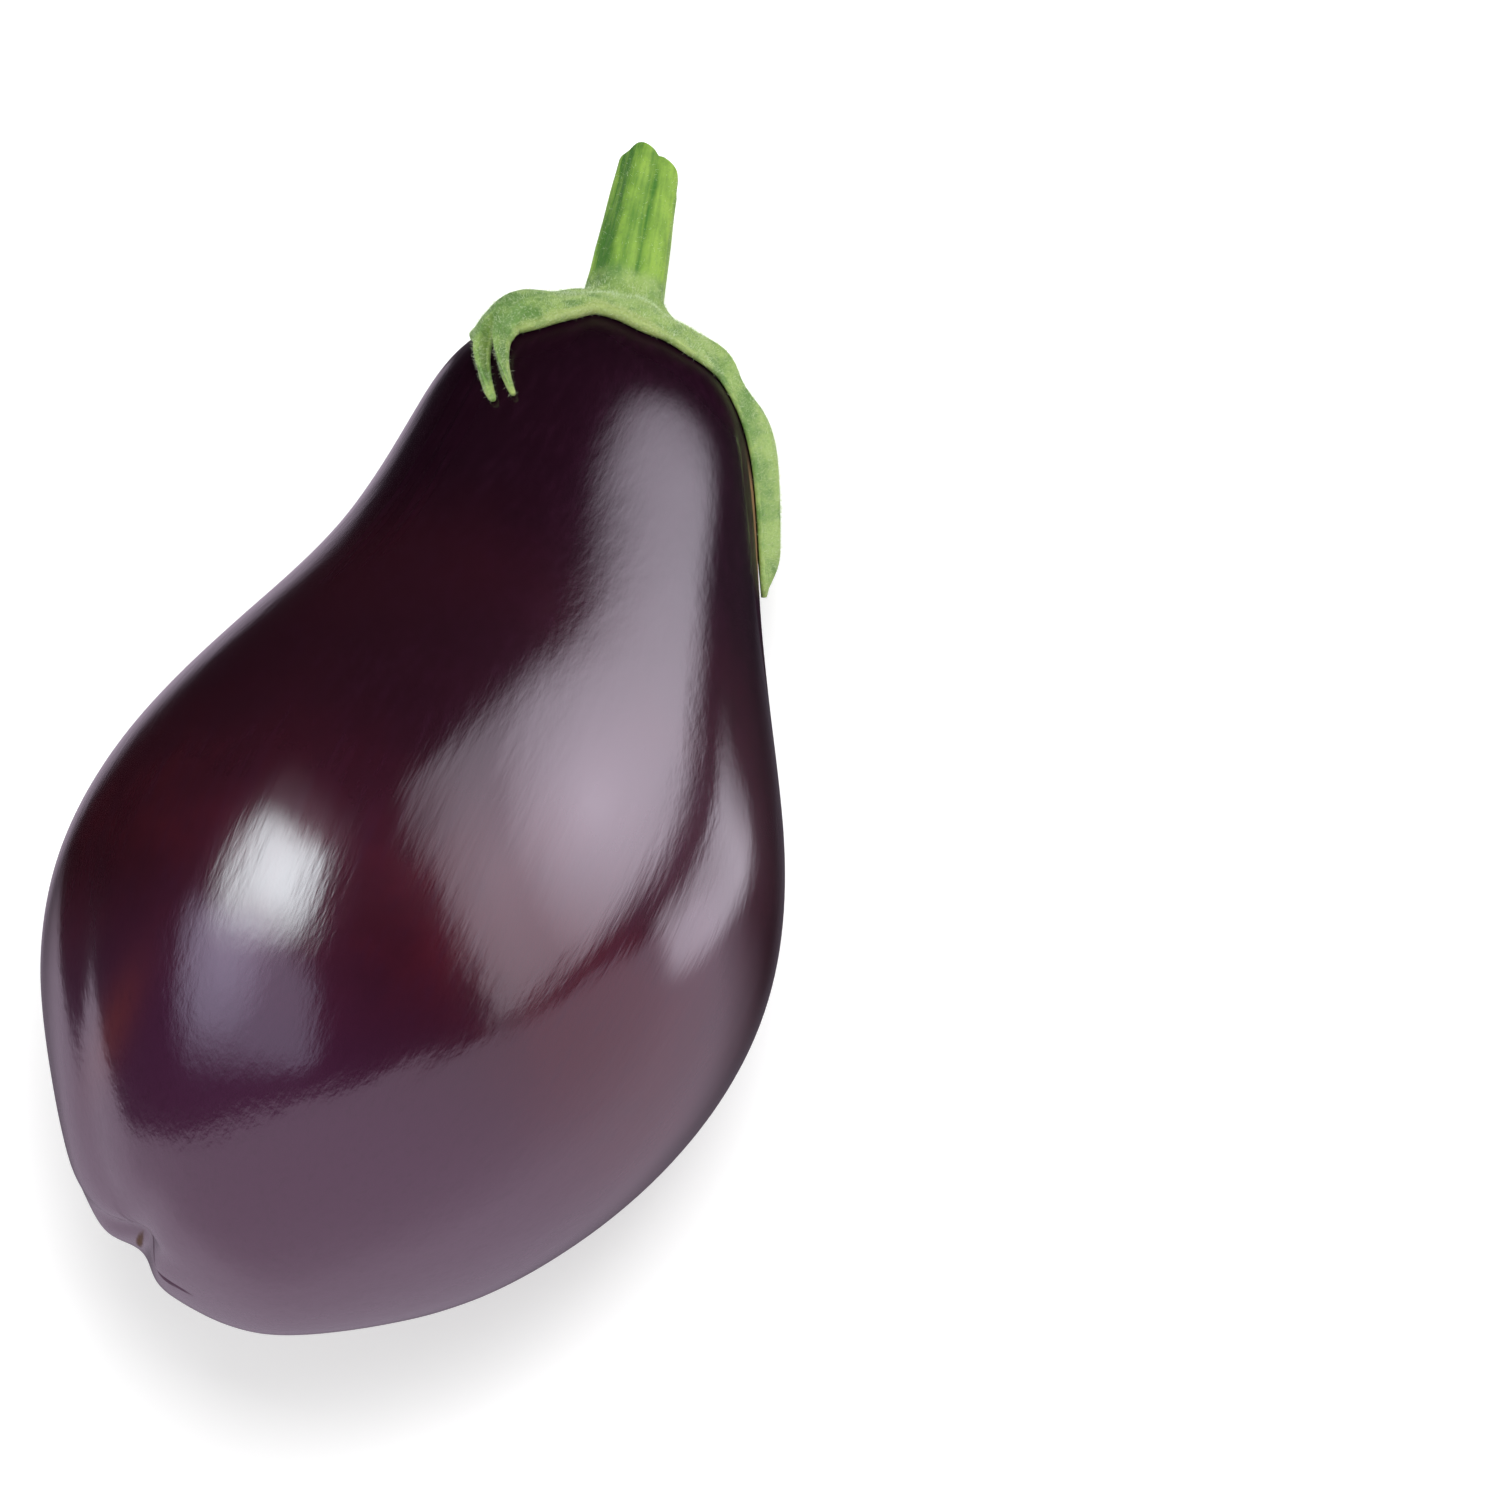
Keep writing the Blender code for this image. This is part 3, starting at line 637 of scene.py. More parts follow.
def cap_point(reach, azimuth, height):
    """A point a given height off the skin."""
    bent = bent_azimuth(reach, azimuth)
    station = stations_at(reach, bent)
    return smooth_skin(station, bent) + height[..., None] * skin_normal(station, bent)


def cap_lift(reach, azimuth):
    """Height of the underside: it hugs the skin, and a lobe's middle stands off a little."""
    from_rim = rim_reach(azimuth) - reach
    lift = (RIM_GAP - SKIN_GAP) * (1 - smoothstep(from_rim / RIM_HUGS_OVER))
    for lobe in LOBES:
        extra, most = lobe[3] * MM, lobe[5] * MM
        share = np.clip((reach - CAP_RIM_REACH) / extra, 0, 1)
        inward = lobe_share(azimuth, lobe) - share
        near = smoothstep(2 * inward / (1 - share + POLE_MARGIN))
        lift = lift + most * near * np.sin(math.pi * share ** LOBE_LIFT_SKEW)
    return SKIN_GAP + lift


def knuckles(reach, azimuth):
    """Height of the soft bumps where the lobes bend over the shoulder, less the hollows."""
    total = np.zeros_like(reach)
    for middle, along, radius, height in KNUCKLES:
        around = KNUCKLE_CIRCLE * turn_between(azimuth, math.radians(middle))
        total = total + height * MM * bell(np.hypot(reach - along * MM, around), radius * MM)
    return total


def cap_thickness(reach, rim, azimuth):
    """Thick at the shoulder, thinner toward the rim and thinnest at the lobes' tips."""
    front = bell(turn_between(azimuth, CAP_FRONT_AZIMUTH), CAP_FRONT_HALF_WIDTH)
    at_rim = CAP_EDGE_THICKNESS + CAP_FRONT_THICKENING * front
    at_tip = smoothstep((rim - CAP_RIM_REACH) / LOBE_THINS_OVER)
    edge = at_rim + (LOBE_TIP_THICKNESS - at_rim) * at_tip
    inside = smoothstep((rim - reach) / CAP_THINS_OVER)
    offsets = [turn_between(azimuth, math.radians(lobe[0])) for lobe in LOBES]
    ridges = CAP_RIDGE_HEIGHT * sum(bell(offset, CAP_RIDGE_HALF_WIDTH) for offset in offsets)
    bumps = waves(azimuth, CAP_PUCKERS) + knuckles(reach, azimuth)
    return edge + (CAP_THICKNESS - edge + ridges + bumps) * inside


def stem_axes():
    """Foot of the stem on the skin, its direction, and two directions across it."""
    foot = smooth_skin(np.array(math.pi), np.array(0.0))
    along = np.array([math.cos(STEM_LEAN), math.sin(STEM_LEAN), 0.0])
    side = np.array([-math.sin(STEM_LEAN), math.cos(STEM_LEAN), 0.0])
    return foot, along, side, np.array([0.0, 0.0, 1.0])


def stem_ring(height_share, radius_share, azimuth):
    """A ring of the stem: share 0 is its foot and 1 the slanted cut."""
    foot, along, side, up = stem_axes()
    radius = STEM_FOOT_RADIUS + (STEM_TOP_RADIUS - STEM_FOOT_RADIUS) * height_share
    ribs = np.cos(STEM_RIB_COUNT * (azimuth - STEM_GROOVE_AZIMUTH))
    groove = STEM_GROOVE_DEPTH * bell(turn_between(azimuth, STEM_GROOVE_AZIMUTH), STEM_GROOVE_HALF_WIDTH)
    radius = radius_share * (radius - STEM_RIB_HEIGHT * ribs - groove)
    slope = CUT_SLOPE_BACK * np.sin(azimuth) + CUT_SLOPE_SIDE * np.cos(azimuth)
    height = STEM_FOOT_HEIGHT + (STEM_LENGTH - STEM_FOOT_HEIGHT) * height_share
    height = height + radius * slope * height_share
    outward = np.cos(azimuth)[:, None] * side + np.sin(azimuth)[:, None] * up
    return foot + height[:, None] * along + radius[:, None] * outward


def flare_rows(foot_ring, cap_ring, azimuth, count):
    """Rings that sweep from the stem's foot out onto the cap."""
    _, along, _, _ = stem_axes()
    height = CAP_THICKNESS + np.zeros_like(azimuth)
    outer = cap_point(np.full_like(azimuth, CAP_INNER_REACH + FLARE_PROBE), azimuth, height)
    inner = cap_point(np.full_like(azimuth, CAP_INNER_REACH), azimuth, height)
    outward = (outer - inner) / np.linalg.norm(outer - inner, axis=-1, keepdims=True)
    down = foot_ring - FLARE_DROP * along
    back = cap_ring - FLARE_SWEEP * outward
    rows = []
    for share in np.arange(1, count + 1) / (count + 1):
        rest = 1 - share
        ends = rest ** 3 * foot_ring + share ** 3 * cap_ring
        rows.append(ends + 3 * rest ** 2 * share * down + 3 * rest * share ** 2 * back)
    return rows


def cap_row(share, azimuth, outer):
    """A ring of the cap's upper or under side; share 0 is by the stem and 1 the rim."""
    rim = rim_reach(azimuth)
    even = CAP_INNER_REACH + (CAP_EVEN_REACH - CAP_INNER_REACH) * share * 2
    spread = CAP_EVEN_REACH + (rim - CAP_EVEN_REACH) * (share * 2 - 1)
    reach = np.full_like(azimuth, even) if share < 0.5 else spread
    height = cap_lift(reach, azimuth)
    if outer:
        height = height + cap_thickness(reach, rim, azimuth)
    return cap_point(reach, azimuth, height)


def rim_rows(top, under, count):
    """The rounded edge between the rim's two rings, as a half circle turned outward."""
    middle = (top + under) / 2
    along_rim = np.roll(middle, -1, axis=0) - np.roll(middle, 1, axis=0)
    upward = (top - under) / 2
    outward = np.cross(along_rim, upward)
    outward = outward / np.linalg.norm(outward, axis=-1, keepdims=True)
    bulge = RIM_ROUNDNESS * np.linalg.norm(upward, axis=-1, keepdims=True) * outward
    turns = math.pi * np.arange(1, count + 1) / (count + 1)
    return [middle + math.cos(turn) * upward + math.sin(turn) * bulge for turn in turns]


azimuths = crowded_azimuths(CAP_COLUMNS)
rows, stem_shares, rim_shares, cut_shares, felt_shares = [], [], [], [], []


def add_row(row, stem=0.0, rim=0.0, cut=-1.0, felt=1.0):
    """Keeps a ring, with how far along the stem, toward the rim and across the cut it lies."""
    rows.append(row)
    for shares, share in ((stem_shares, stem), (rim_shares, rim), (cut_shares, cut), (felt_shares, felt)):
        shares.append(np.zeros(CAP_COLUMNS) + share)


for share in np.linspace(0, 1, CUT_RINGS):
    cut_ring = stem_ring(1.0, share * (1 - CUT_EDGE_ROUND / STEM_TOP_RADIUS), azimuths)
    add_row(cut_ring, 1.0, cut=share, felt=0.0)
for turn in np.linspace(0, math.pi / 2, CUT_EDGE_RINGS + 2)[1:-1]:
    inward = CUT_EDGE_ROUND / STEM_TOP_RADIUS * (1 - math.sin(turn))
    down = CUT_EDGE_ROUND / STEM_LENGTH * (1 - math.cos(turn))
    add_row(stem_ring(1.0 - down, 1.0 - inward, azimuths), 1.0, felt=0.0)
for share in np.linspace(1 - CUT_EDGE_ROUND / STEM_LENGTH, 0, STEM_RINGS):
    add_row(stem_ring(share, 1.0, azimuths), share, felt=STEM_FELT_SHARE if share < STEM_FELT_END else 0.0)
for row in flare_rows(rows[-1], cap_row(0.0, azimuths, True), azimuths, FLARE_RINGS):
    add_row(row)
pale_steps = (rim_reach(azimuths) - CAP_EVEN_REACH) / RIM_PALE_WIDTH
on_front = bell(turn_between(azimuths, RIM_PALE_AZIMUTH), RIM_PALE_HALF_WIDTH)
on_lip = LIP_LEAST_SHARE + (1 - LIP_LEAST_SHARE) * on_front
for share in np.linspace(0, 1, UPPER_RINGS):
    add_row(cap_row(share, azimuths, True), rim=on_lip * np.clip(1 - pale_steps * (2 - 2 * share), 0, 1))
for row in rim_rows(rows[-1], cap_row(1.0, azimuths, False), RIM_RINGS):
    add_row(row, rim=on_lip, felt=RIM_FELT_SHARE)
for share in np.linspace(1, 0, UNDER_RINGS):
    add_row(cap_row(share, azimuths, False), rim=on_lip * share, felt=0.0)
for share in (0.5, 0.0):
    reach = np.full(CAP_COLUMNS, CAP_INNER_REACH * share)
    add_row(cap_point(reach, azimuths, cap_lift(reach, azimuths)), felt=0.0)
cap_grown = np.array(rows)
cap_grown[0] = cap_grown[0].mean(axis=0)
cap_grown[-1] = cap_grown[-1].mean(axis=0)
stem_part = np.array(stem_shares)
stem_unevenness = gentle_swells(cap_grown * STEM_SWELLS_STRETCH, *STEM_SWELLS)
_, _, stem_side, stem_up = stem_axes()
stem_outward = np.cos(azimuths)[:, None] * stem_side + np.sin(azimuths)[:, None] * stem_up
on_stem = smoothstep(stem_part / 0.15) * (np.array(cut_shares) < -0.5)
cap_grown -= (STEM_ROUGHNESS * on_stem * (1 + stem_unevenness))[..., None] * stem_outward
cap_and_stem = ball_skin("cap_and_stem_green", laid_down(cap_grown))
face_outward(cap_and_stem)

# How light or deep green the stem is: painted light on the rib crests and painted shade in the furrows, a
# thin line of painted shade along the groove, and painted shade over one whole side, the side away from the
# light
rib_crest_light = 0.5 - 0.5 * np.cos(STEM_RIB_COUNT * (azimuths - STEM_GROOVE_AZIMUTH))
shaded_side = bell(turn_between(azimuths, STEM_SHADED_AZIMUTH), STEM_SHADED_HALF_WIDTH)
groove_shade = bell(turn_between(azimuths, STEM_GROOVE_AZIMUTH), GROOVE_SHADE_HALF_WIDTH)
stem_light_and_shade = np.clip(0.55 + 0.35 * rib_crest_light - 0.65 * shaded_side - 0.35 * groove_shade, 0, 1)
store_vector(cap_and_stem, "grown_place", cap_grown)
fibre_way = np.linalg.norm(np.diff(cap_grown, axis=0, prepend=cap_grown[:1]), axis=-1).cumsum(axis=0)
fibre_ring = np.broadcast_to(azimuths, fibre_way.shape)
fibre_place = [fibre_way, FIBRE_CIRCLE * np.cos(fibre_ring), FIBRE_CIRCLE * np.sin(fibre_ring)]
store_vector(cap_and_stem, "fibre_place", np.stack(fibre_place, axis=-1))
store_value(cap_and_stem, "stem_share", stem_part)
store_value(cap_and_stem, "stem_light_and_shade", np.tile(stem_light_and_shade, (len(rows), 1)))
for name, shares in (("rim_share", rim_shares), ("cut_share", cut_shares), ("felt_share", felt_shares)):
    store_value(cap_and_stem, name, np.array(shares))

# The skin that the cap keeps from the light stays pale; it shows beside the longest lobe. Near
# the cap the skin is dull, so that it doesn't mirror the green, and most so beside that lobe.
along_skin = np.linalg.norm(np.diff(grown[::-1], axis=0), axis=-1).cumsum(axis=0)[::-1]
way = np.concatenate([along_skin, np.zeros((1, FRUIT_SEGMENTS))])
rim = rim_reach(fruit_azimuth)
girth = np.hypot(grown[..., 1] - grown[..., 1].mean(axis=1, keepdims=True), grown[..., 2])
steepness = np.gradient(rim, 2 * math.pi / FRUIT_SEGMENTS, axis=1) / np.maximum(girth, 1 * MM)
past_rim = (way - rim) / np.sqrt(1 + steepness ** 2)
from_bared = turn_between(fruit_azimuth, BARED_AZIMUTH)
beside_lobe = bell(way - BARED_REACH, BARED_HALF_LENGTH) * bell(from_bared, BARED_TURN)
bared = smoothstep((BARED_WIDTH - past_rim) / BARED_SOFTNESS) * smoothstep(4 * beside_lobe)
store_value(fruit_skin, "bared_share", bared)
fade_end = COAT_FADE_END + LOBE_COAT_FADE * bell(from_bared, LOBE_COAT_TURN)
store_value(fruit_skin, "under_cap", smoothstep((fade_end - past_rim) / COAT_FADE))


CAP_DEEP = (0.095, 0.200, 0.034)
CAP_GREEN = (0.255, 0.375, 0.090)
CAP_PALE = (0.295, 0.370, 0.105)
CAP_FELT = (0.40, 0.50, 0.25)
STEM_DEEP = (0.034, 0.145, 0.002)
STEM_GREEN = (0.230, 0.390, 0.036)
CUT_RIND = (0.16, 0.32, 0.05)
CUT_FLESH = (0.56, 0.68, 0.20)
CUT_PITH = (0.36, 0.55, 0.13)
CUT_RING = (0.30, 0.46, 0.08)
CUT_RING_SHARE = 0.52

# Sizes of the patterns on the green and the felt, as repeats per metre
CAP_BLOTCHES = 260.0
CAP_GRAIN = 2200.0
CAP_FIBRES = (90.0, 900.0, 900.0)


def green_cap_material():
    made, tree, shader = new_material(
        "green_cap", Specular_IOR_Level=0.3, Sheen_Weight=0.06, Sheen_Roughness=0.4,
        Sheen_Tint=(0.85, 0.95, 0.7), Subsurface_Weight=0.15, Subsurface_Radius=(0.5, 1.0, 0.2),
        Subsurface_Scale=0.0008)
    place = attribute(tree, "grown_place", "Vector")
    fibre_place = stretched(tree, attribute(tree, "fibre_place", "Vector"), CAP_FIBRES)
    blotches, fibres, felt = growth_marks(tree, place, CAP_BLOTCHES, fibre_place, CAP_GRAIN)
    on_stem = ramp(tree, attribute(tree, "stem_share"), 0.0, 0.12)
    cut = attribute(tree, "cut_share")
    across = node(tree, "ShaderNodeSeparateXYZ", Vector=place).outputs["Y"]
    # Painted shade: the cap's green is darker toward one side across the fruit, on top of its own blotches
    shade = reckon(tree, "SUBTRACT", blotches, ramp(tree, across, 4 * MM, 24 * MM, 0.0, 0.12))
    cap_colour = mixed(tree, ramp(tree, shade, 0.30, 0.60), CAP_DEEP, CAP_GREEN)
    # The stem's painted light and shade, with its own fibres and blotches on top
    tone = reckon(tree, "ADD", attribute(tree, "stem_light_and_shade"), ramp(tree, fibres, 0.3, 0.7, -0.30, 0.30))
    tone = reckon(tree, "ADD", tone, ramp(tree, blotches, 0.3, 0.7, -0.22, 0.22))
    stem_colour = mixed(tree, tone, STEM_DEEP, STEM_GREEN)
    colour = mixed(tree, on_stem, cap_colour, stem_colour)
    rim = reckon(tree, "ADD", attribute(tree, "rim_share"), ramp(tree, blotches, 0.3, 0.7, -0.2, 0.2))
    rim = ramp(tree, rim, 0.15, 0.95, 0.0, 0.85)
    colour = mixed(tree, rim, colour, CAP_PALE)
    on_cap = ramp(tree, on_stem, 0.0, 1.0, 1.0, 0.15)
    dusting = reckon(tree, "MULTIPLY", ramp(tree, felt, 0.50, 0.72, 0.0, 0.45), on_cap)
    colour = mixed(tree, ramp(tree, felt, 0.28, 0.46, 0.40, 0.0), colour, CAP_DEEP)
    colour = mixed(tree, dusting, colour, CAP_FELT)
    off_ring = reckon(tree, "ABSOLUTE", reckon(tree, "SUBTRACT", cut, CUT_RING_SHARE), 0.0)
    cut_colour = mixed(tree, ramp(tree, cut, 0.46, 0.56), CUT_PITH, CUT_FLESH)
    cut_colour = mixed(tree, ramp(tree, off_ring, 0.0, 0.06, 1.0, 0.0), cut_colour, CUT_RING)
    cut_colour = mixed(tree, ramp(tree, cut, 0.88, 0.98), cut_colour, CUT_RIND)
    colour = mixed(tree, reckon(tree, "GREATER_THAN", cut, -0.5), colour, cut_colour)
    give(tree, shader.inputs["Base Color"], colour)
    give(tree, shader.inputs["Roughness"], ramp(tree, felt, 0.3, 0.7, 0.55, 0.8))
    normal = bump(tree, blotches, 0.45, 0.0012)
    normal = bump(tree, fibres, 0.5, 0.0005, normal)
    normal = bump(tree, felt, 0.45, 0.0002, normal)
    give(tree, shader.inputs["Normal"], normal)
    return made


cap_and_stem.data.materials.append(green_cap_material())
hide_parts("cap_and_stem")
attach(cap_and_stem, "root")


# Felt: short, soft, whitish hairs that grow all over the cap and more thinly on the stem. They
# lean every way, and show as a pale bloom on the green and as down along its outline.

HAIR_LENGTH = 0.75 * MM
HAIR_THICKNESS = 0.028 * MM
HAIR_DENSITY = 4.2e6
HAIR_LEAN = 0.75
HAIR_LEAST_SIZE = 0.45
HAIR_SEED = 7


def felt_hairs_tree():
    """Scatters thin three-sided spikes over the faces that it is given."""
    tree = bpy.data.node_groups.new("felt_hairs", "GeometryNodeTree")
    for name, kind in (("Leaf", "Geometry"), ("Hair Length", "Float"), ("Hair Thickness", "Float"),
                       ("Density", "Float"), ("Lean", "Float"), ("Seed", "Int"), ("Finish", "Material")):
        tree.interface.new_socket(name, in_out="INPUT", socket_type="NodeSocket" + kind)
    tree.interface.new_socket("Hairs", in_out="OUTPUT", socket_type="NodeSocketGeometry")
    given = node(tree, "NodeGroupInput").outputs
    share = node(tree, "GeometryNodeInputNamedAttribute", {"data_type": "FLOAT"}, Name="felt_share")
    density = reckon(tree, "MULTIPLY", given["Density"], share.outputs["Attribute"])
    roots = node(tree, "GeometryNodeDistributePointsOnFaces", Mesh=given["Leaf"], Density=density,
                 Seed=given["Seed"])
    spike = node(tree, "GeometryNodeMeshCone", {"fill_type": "TRIANGLE_FAN"}, Vertices=3, Radius_Top=0.0,
                 Radius_Bottom=given["Hair Thickness"], Depth=given["Hair Length"])
    least = reckon(tree, "MULTIPLY", given["Lean"], -1.0)
    lean = node(tree, "FunctionNodeRandomValue", {"data_type": "FLOAT_VECTOR"}, Seed=given["Seed"])
    give(tree, lean.inputs["Min"], least)
    give(tree, lean.inputs["Max"], given["Lean"])
    turn = node(tree, "FunctionNodeEulerToRotation", Euler=lean.outputs["Value"])
    leaning = node(tree, "FunctionNodeRotateRotation", {"rotation_space": "LOCAL"},
                   Rotation=roots.outputs["Rotation"], Rotate_By=turn.outputs["Rotation"])
    size = node(tree, "FunctionNodeRandomValue", {"data_type": "FLOAT"}, Seed=given["Seed"])
    give(tree, size.inputs[2], HAIR_LEAST_SIZE)
    give(tree, size.inputs[3], 1.0)
    placed = node(tree, "GeometryNodeInstanceOnPoints", Points=roots.outputs["Points"],
                  Instance=spike.outputs["Mesh"], Rotation=leaning.outputs["Rotation"], Scale=size.outputs[1])
    real = node(tree, "GeometryNodeRealizeInstances", Geometry=placed.outputs["Instances"])
    finished = node(tree, "GeometryNodeSetMaterial", Geometry=real.outputs["Geometry"],
                    Material=given["Finish"])
    node(tree, "NodeGroupOutput", Hairs=finished.outputs["Geometry"])
    return tree


HAIR_WHITE = (0.66, 0.74, 0.54)
HAIR_GREEN = (0.40, 0.54, 0.24)
HAIR_STREAKS = (1500.0, 1500.0, 1500.0)


def felt_hairs_material():
    made, tree, shader = new_material("cap_felt", Specular_IOR_Level=0.2, Sheen_Weight=0.4,
                                      Sheen_Tint=(0.95, 1.0, 0.88))
    place = node(tree, "ShaderNodeTexCoord").outputs["Object"]
    streak_place = stretched(tree, place, HAIR_STREAKS)
    blotches, streaks, _ = growth_marks(tree, place, CAP_BLOTCHES, streak_place, CAP_GRAIN)
    uneven = reckon(tree, "MULTIPLY", reckon(tree, "ADD", blotches, streaks), 0.5)
    colour = mixed(tree, ramp(tree, uneven, 0.35, 0.65), HAIR_GREEN, HAIR_WHITE)
    give(tree, shader.inputs["Base Color"], colour)
    give(tree, shader.inputs["Roughness"], ramp(tree, uneven, 0.3, 0.7, 0.5, 0.7))
    return made


def grown_over(name, leaf, tree, values):
    """A plain mesh of what a geometry tree grows over a piece."""
    grower = bpy.data.objects.new(name + "_grower", leaf.data)
    bpy.context.scene.collection.objects.link(grower)
    growth = grower.modifiers.new(name, "NODES")
    growth.node_group = tree
    for item in tree.interface.items_tree:
        if item.in_out == "INPUT" and item.name in values:
            growth[item.identifier] = values[item.name]
    bpy.context.view_layer.update()
    ready = grower.evaluated_get(bpy.context.evaluated_depsgraph_get())
    made = bpy.data.objects.new(name, bpy.data.meshes.new_from_object(ready))
    bpy.data.objects.remove(grower)
    made.data.name = name
    bpy.context.scene.collection.objects.link(made)
    return made


cap_felt = grown_over("cap_felt", cap_and_stem, felt_hairs_tree(), {
    "Hair Length": HAIR_LENGTH, "Hair Thickness": HAIR_THICKNESS, "Density": HAIR_DENSITY,
    "Lean": HAIR_LEAN, "Seed": HAIR_SEED, "Finish": felt_hairs_material(),
})
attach(cap_felt, "root")


# Floor, soft studio light and camera. The floor is a plain white table, lit a little from
# below. Its light and the soft key light model the fruit; the panels, the narrow strip and
# the pale surroundings are there for the sake of their reflections in the glossy skin.

FLOOR_HALF = 3.0
floor_mesh = bpy.data.meshes.new("floor")
floor_mesh.from_pydata(
    [(-FLOOR_HALF, -FLOOR_HALF, 0), (FLOOR_HALF, -FLOOR_HALF, 0), (FLOOR_HALF, FLOOR_HALF, 0),
     (-FLOOR_HALF, FLOOR_HALF, 0)],
    [], [(0, 1, 2, 3)],
)
floor = bpy.data.objects.new("floor", floor_mesh)
bpy.context.scene.collection.objects.link(floor)
floor_mesh.materials.append(new_material(
    "pale_floor", Base_Color=(0.9, 0.9, 0.9), Roughness=0.9, Specular_IOR_Level=0.0,
    Emission_Color=(1.0, 1.0, 1.0), Emission_Strength=0.32)[0])
floor.visible_glossy = False


def soft_light(name, place, turn, size, radiance):
    """A rectangular light at a place, facing down its own turned axis."""
    lamp = bpy.data.lights.new(name, "AREA")
    lamp.shape = "RECTANGLE"
    lamp.size, lamp.size_y = size
    lamp.energy = math.pi * size[0] * size[1]
    lamp.use_nodes = True
    give(lamp.node_tree, lamp.node_tree.nodes["Emission"].inputs["Strength"], radiance)
    made = bpy.data.objects.new(name, lamp)
    made.location = place
    made.rotation_euler = turn
    made.visible_camera = False
    bpy.context.scene.collection.objects.link(made)
    return made


def reflected_light(name, panel, span, fades, radiance, tint, glows=(), cuts=(), behind=0.0):
    """A light seen only in the gloss, on a panel's plane or behind it, as lights in one plane would
    hide each other. Span is its low and high edge across and along, and fades how softly each edge
    ends; a glow is a brighter round spot: its middle, radius and strength; a cut is a slanting
    edge: its direction, place and softness."""
    place, turn = Vector(panel[0]), Euler([math.radians(angle) for angle in panel[1]])
    across, along, away = (turn.to_matrix() @ Vector(axis) for axis in ((1, 0, 0), (0, 1, 0), (0, 0, 1)))
    place += behind * away
    left, right, low, high = span
    middle = place + across * (left + right) / 2 + along * (low + high) / 2
    made = soft_light(name, middle, turn, (right - left, high - low), radiance)
    tree = made.data.node_tree
    seen = node(tree, "ShaderNodeNewGeometry").outputs["Position"]
    strength = radiance
    for centre, radius, extra in glows:
        apart = node(tree, "ShaderNodeVectorMath", {"operation": "DISTANCE"})
        give(tree, apart.inputs[0], seen)
        give(tree, apart.inputs[1], place + across * centre[0] + along * centre[1])
        glow = ramp(tree, apart.outputs["Value"], 0.0, radius, extra, 0.0, "LINEAR")
        strength = reckon(tree, "ADD", glow, strength)
    edges = [((1, 0), left + fades[0] / 2, fades[0]), ((-1, 0), -right + fades[1] / 2, fades[1]),
             ((0, 1), low + fades[2] / 2, fades[2]), ((0, -1), -high + fades[3] / 2, fades[3])]
    for heading, where, softness in edges + list(cuts):
        axis = across * heading[0] + along * heading[1]
        measured = node(tree, "ShaderNodeVectorMath", {"operation": "DOT_PRODUCT"})
        give(tree, measured.inputs[0], seen)
        give(tree, measured.inputs[1], axis)
        passed = place.dot(axis) + where
        lit = ramp(tree, measured.outputs["Value"], passed - softness / 2, passed + softness / 2)
        strength = reckon(tree, "MULTIPLY", strength, lit)
    emission = tree.nodes["Emission"]
    give(tree, emission.inputs["Strength"], strength)
    give(tree, emission.inputs["Color"], tint)
    made.visible_diffuse = False
    made.visible_transmission = False
    return made


BROAD_PANEL = ((0.220, 0.007, 0.433), (92.2, -39.9, 43.2))
BRIGHT_PANEL = ((0.060, 0.382, 0.511), (-10.7, 71.6, 101.1))
PANEL_TINT = (1.06, 1.0, 1.15)
reflected_light("broad_panel", BROAD_PANEL, (-0.385, 0.560, -0.262, 0.330), (0.03, 0.22, 0.035, 0.15),
                1.1, PANEL_TINT, [((-0.190, 0.030), 0.52, 3.2), ((-0.300, -0.120), 0.155, 5.9)],
                [((-0.24, 0.97), -0.168, 0.08)])
reflected_light("narrow_panel", BROAD_PANEL, (-0.470, -0.392, -0.240, -0.072), (0.03, 0.015, 0.06, 0.03),
                3.8, PANEL_TINT)
reflected_light("bright_core", BRIGHT_PANEL, (-0.300, 0.225, -0.170, 0.240), (0.20, 0.15, 0.12, 0.17),
                16.5, (0.9, 1.0, 1.03), [((-0.02, 0.025), 0.12, 3.5)])
reflected_light("bright_halo", BRIGHT_PANEL, (-0.360, 0.280, -0.380, 0.100), (0.18, 0.18, 0.22, 0.20),
                0.7, (1.0, 1.0, 1.1), behind=0.004)
reflected_light("bright_tail", BRIGHT_PANEL, (-0.420, 0.285, 0.100, 0.660), (0.20, 0.09, 0.08, 0.05),
                1.8, (1.03, 1.0, 1.35), [((0.11, 0.24), 0.19, 2.5)],
                [((-0.41, -0.91), -0.445, 0.10), ((0.6, 0.8), 0.070, 0.11)], behind=0.008)

KEY_TOWARD = Vector((0.332, 0.03, 1.02)).normalized()
KEY_DISTANCE = 1.25
KEY_SIZE = (0.50, 0.50)
KEY_RADIANCE = 13.5
FRUIT_MIDDLE = Vector((-0.02, 0.0, 0.05))
key_light = soft_light("key_light", FRUIT_MIDDLE + KEY_DISTANCE * KEY_TOWARD,
                       KEY_TOWARD.to_track_quat("Z", "Y").to_euler(), KEY_SIZE, KEY_RADIANCE)
key_light.visible_glossy = False

world = bpy.data.worlds.new("studio")
bpy.context.scene.world = world
world.use_nodes = True
sky = world.node_tree
sky.nodes.clear()
direction = node(sky, "ShaderNodeTexCoord").outputs["Generated"]


def toward(vector):
    """How far a direction points along a vector, from -1 to 1."""
    product = node(sky, "ShaderNodeVectorMath", {"operation": "DOT_PRODUCT"})
    give(sky, product.inputs[0], direction)
    give(sky, product.inputs[1], vector)
    return product.outputs["Value"]


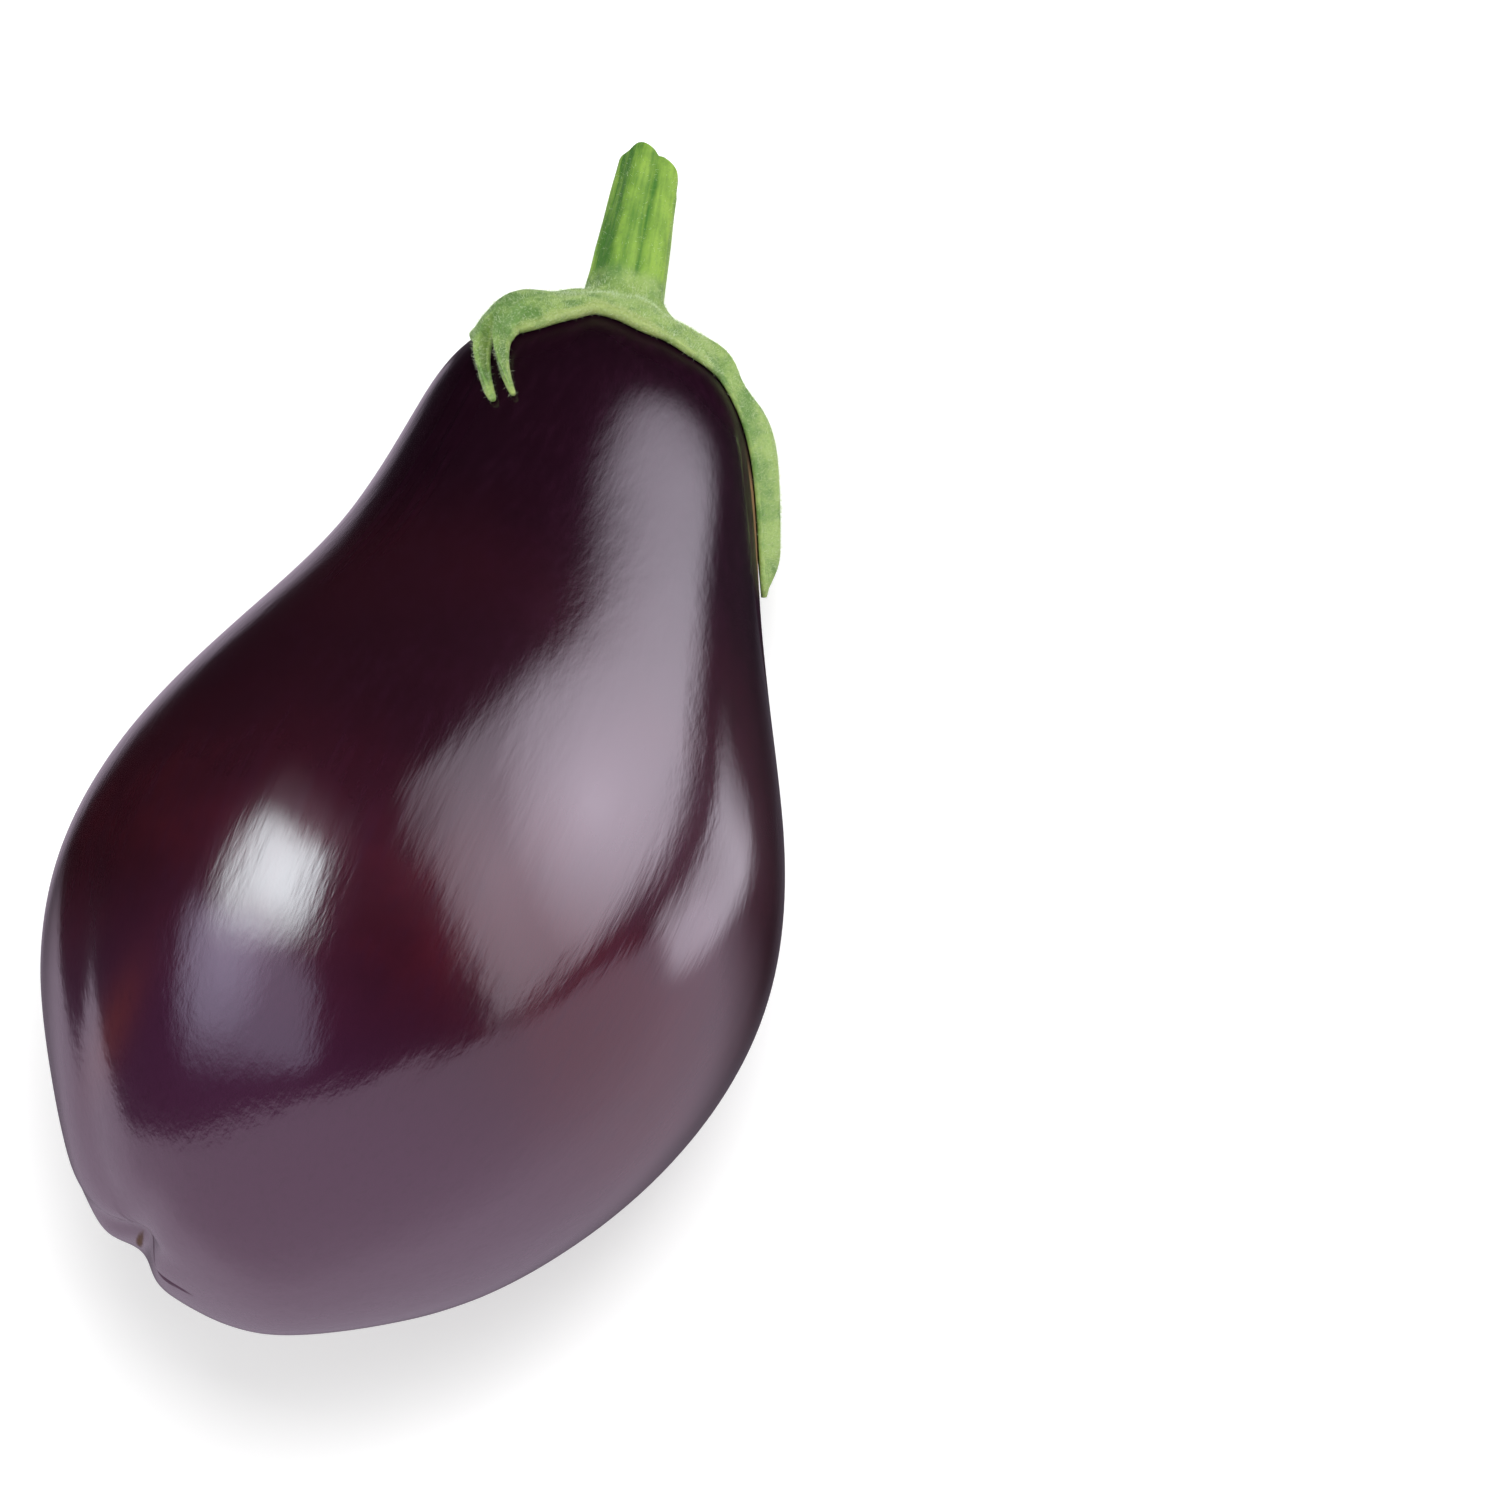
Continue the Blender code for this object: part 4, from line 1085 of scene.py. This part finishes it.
# Surroundings: a pale half that mirrors in the lower belly and along the rim, and faint glows
CAMERA_BACK = Vector((-0.0612, -0.0279, 0.9977))
PALE_TOWARD = (-0.756, -0.476, -0.449)
OPEN_TOWARD = (-0.804, -0.116, 0.584)
UPPER_LEFT_TOWARD = (0.166, 0.316, -0.934)
SIDE_GLOW_TOWARD = (0.397, -0.566, -0.722)
AROUND_STRENGTH = 0.62
BACKDROP_EXTRA = 0.5
GLOSS_TINT = (1.0, 0.83, 1.04)
pale_side = ramp(sky, toward(PALE_TOWARD), 0.13, 0.18)
not_behind = ramp(sky, toward(OPEN_TOWARD), -0.60, -0.25)
falling = ramp(sky, toward(CAMERA_BACK), -1.0, -0.2, 0.25, 1.85, "LINEAR")
surroundings = reckon(sky, "MULTIPLY", reckon(sky, "MULTIPLY", pale_side, not_behind), falling)
upper_left = ramp(sky, toward(UPPER_LEFT_TOWARD), 0.95, 0.9976, 0.0, 0.45)
side_glow = ramp(sky, toward(SIDE_GLOW_TOWARD), 0.93, 1.0, 0.0, 0.03)
from_behind = ramp(sky, toward(-CAMERA_BACK), 0.86, 0.99, 0.004, 0.10)
in_gloss = reckon(sky, "ADD", reckon(sky, "ADD", surroundings, upper_left),
                  reckon(sky, "ADD", side_glow, from_behind))
paths = node(sky, "ShaderNodeLightPath").outputs
backdrop = reckon(sky, "MULTIPLY", paths["Is Camera Ray"], BACKDROP_EXTRA)
plain = reckon(sky, "ADD", backdrop, AROUND_STRENGTH)
not_glossy = reckon(sky, "SUBTRACT", 1.0, paths["Is Glossy Ray"])
strength = reckon(sky, "ADD", reckon(sky, "MULTIPLY", paths["Is Glossy Ray"], in_gloss),
                  reckon(sky, "MULTIPLY", not_glossy, plain))
tint = mixed(sky, paths["Is Glossy Ray"], (1.0, 1.0, 1.0), GLOSS_TINT)
background = node(sky, "ShaderNodeBackground", Color=tint, Strength=strength)
node(sky, "ShaderNodeOutputWorld", Surface=background.outputs["Background"])
bpy.context.scene.view_settings.view_transform = "Standard"

CAMERA_PLACE = Vector((-0.0408, -0.0590, 0.9444))
camera_data = bpy.data.cameras.new("camera")
camera_data.lens = 145
camera_data.sensor_width = 36
camera = bpy.data.objects.new("camera", camera_data)
camera.location = CAMERA_PLACE
camera.rotation_euler = CAMERA_BACK.to_track_quat("Z", "Y").to_euler()
bpy.context.scene.collection.objects.link(camera)
bpy.context.scene.camera = camera
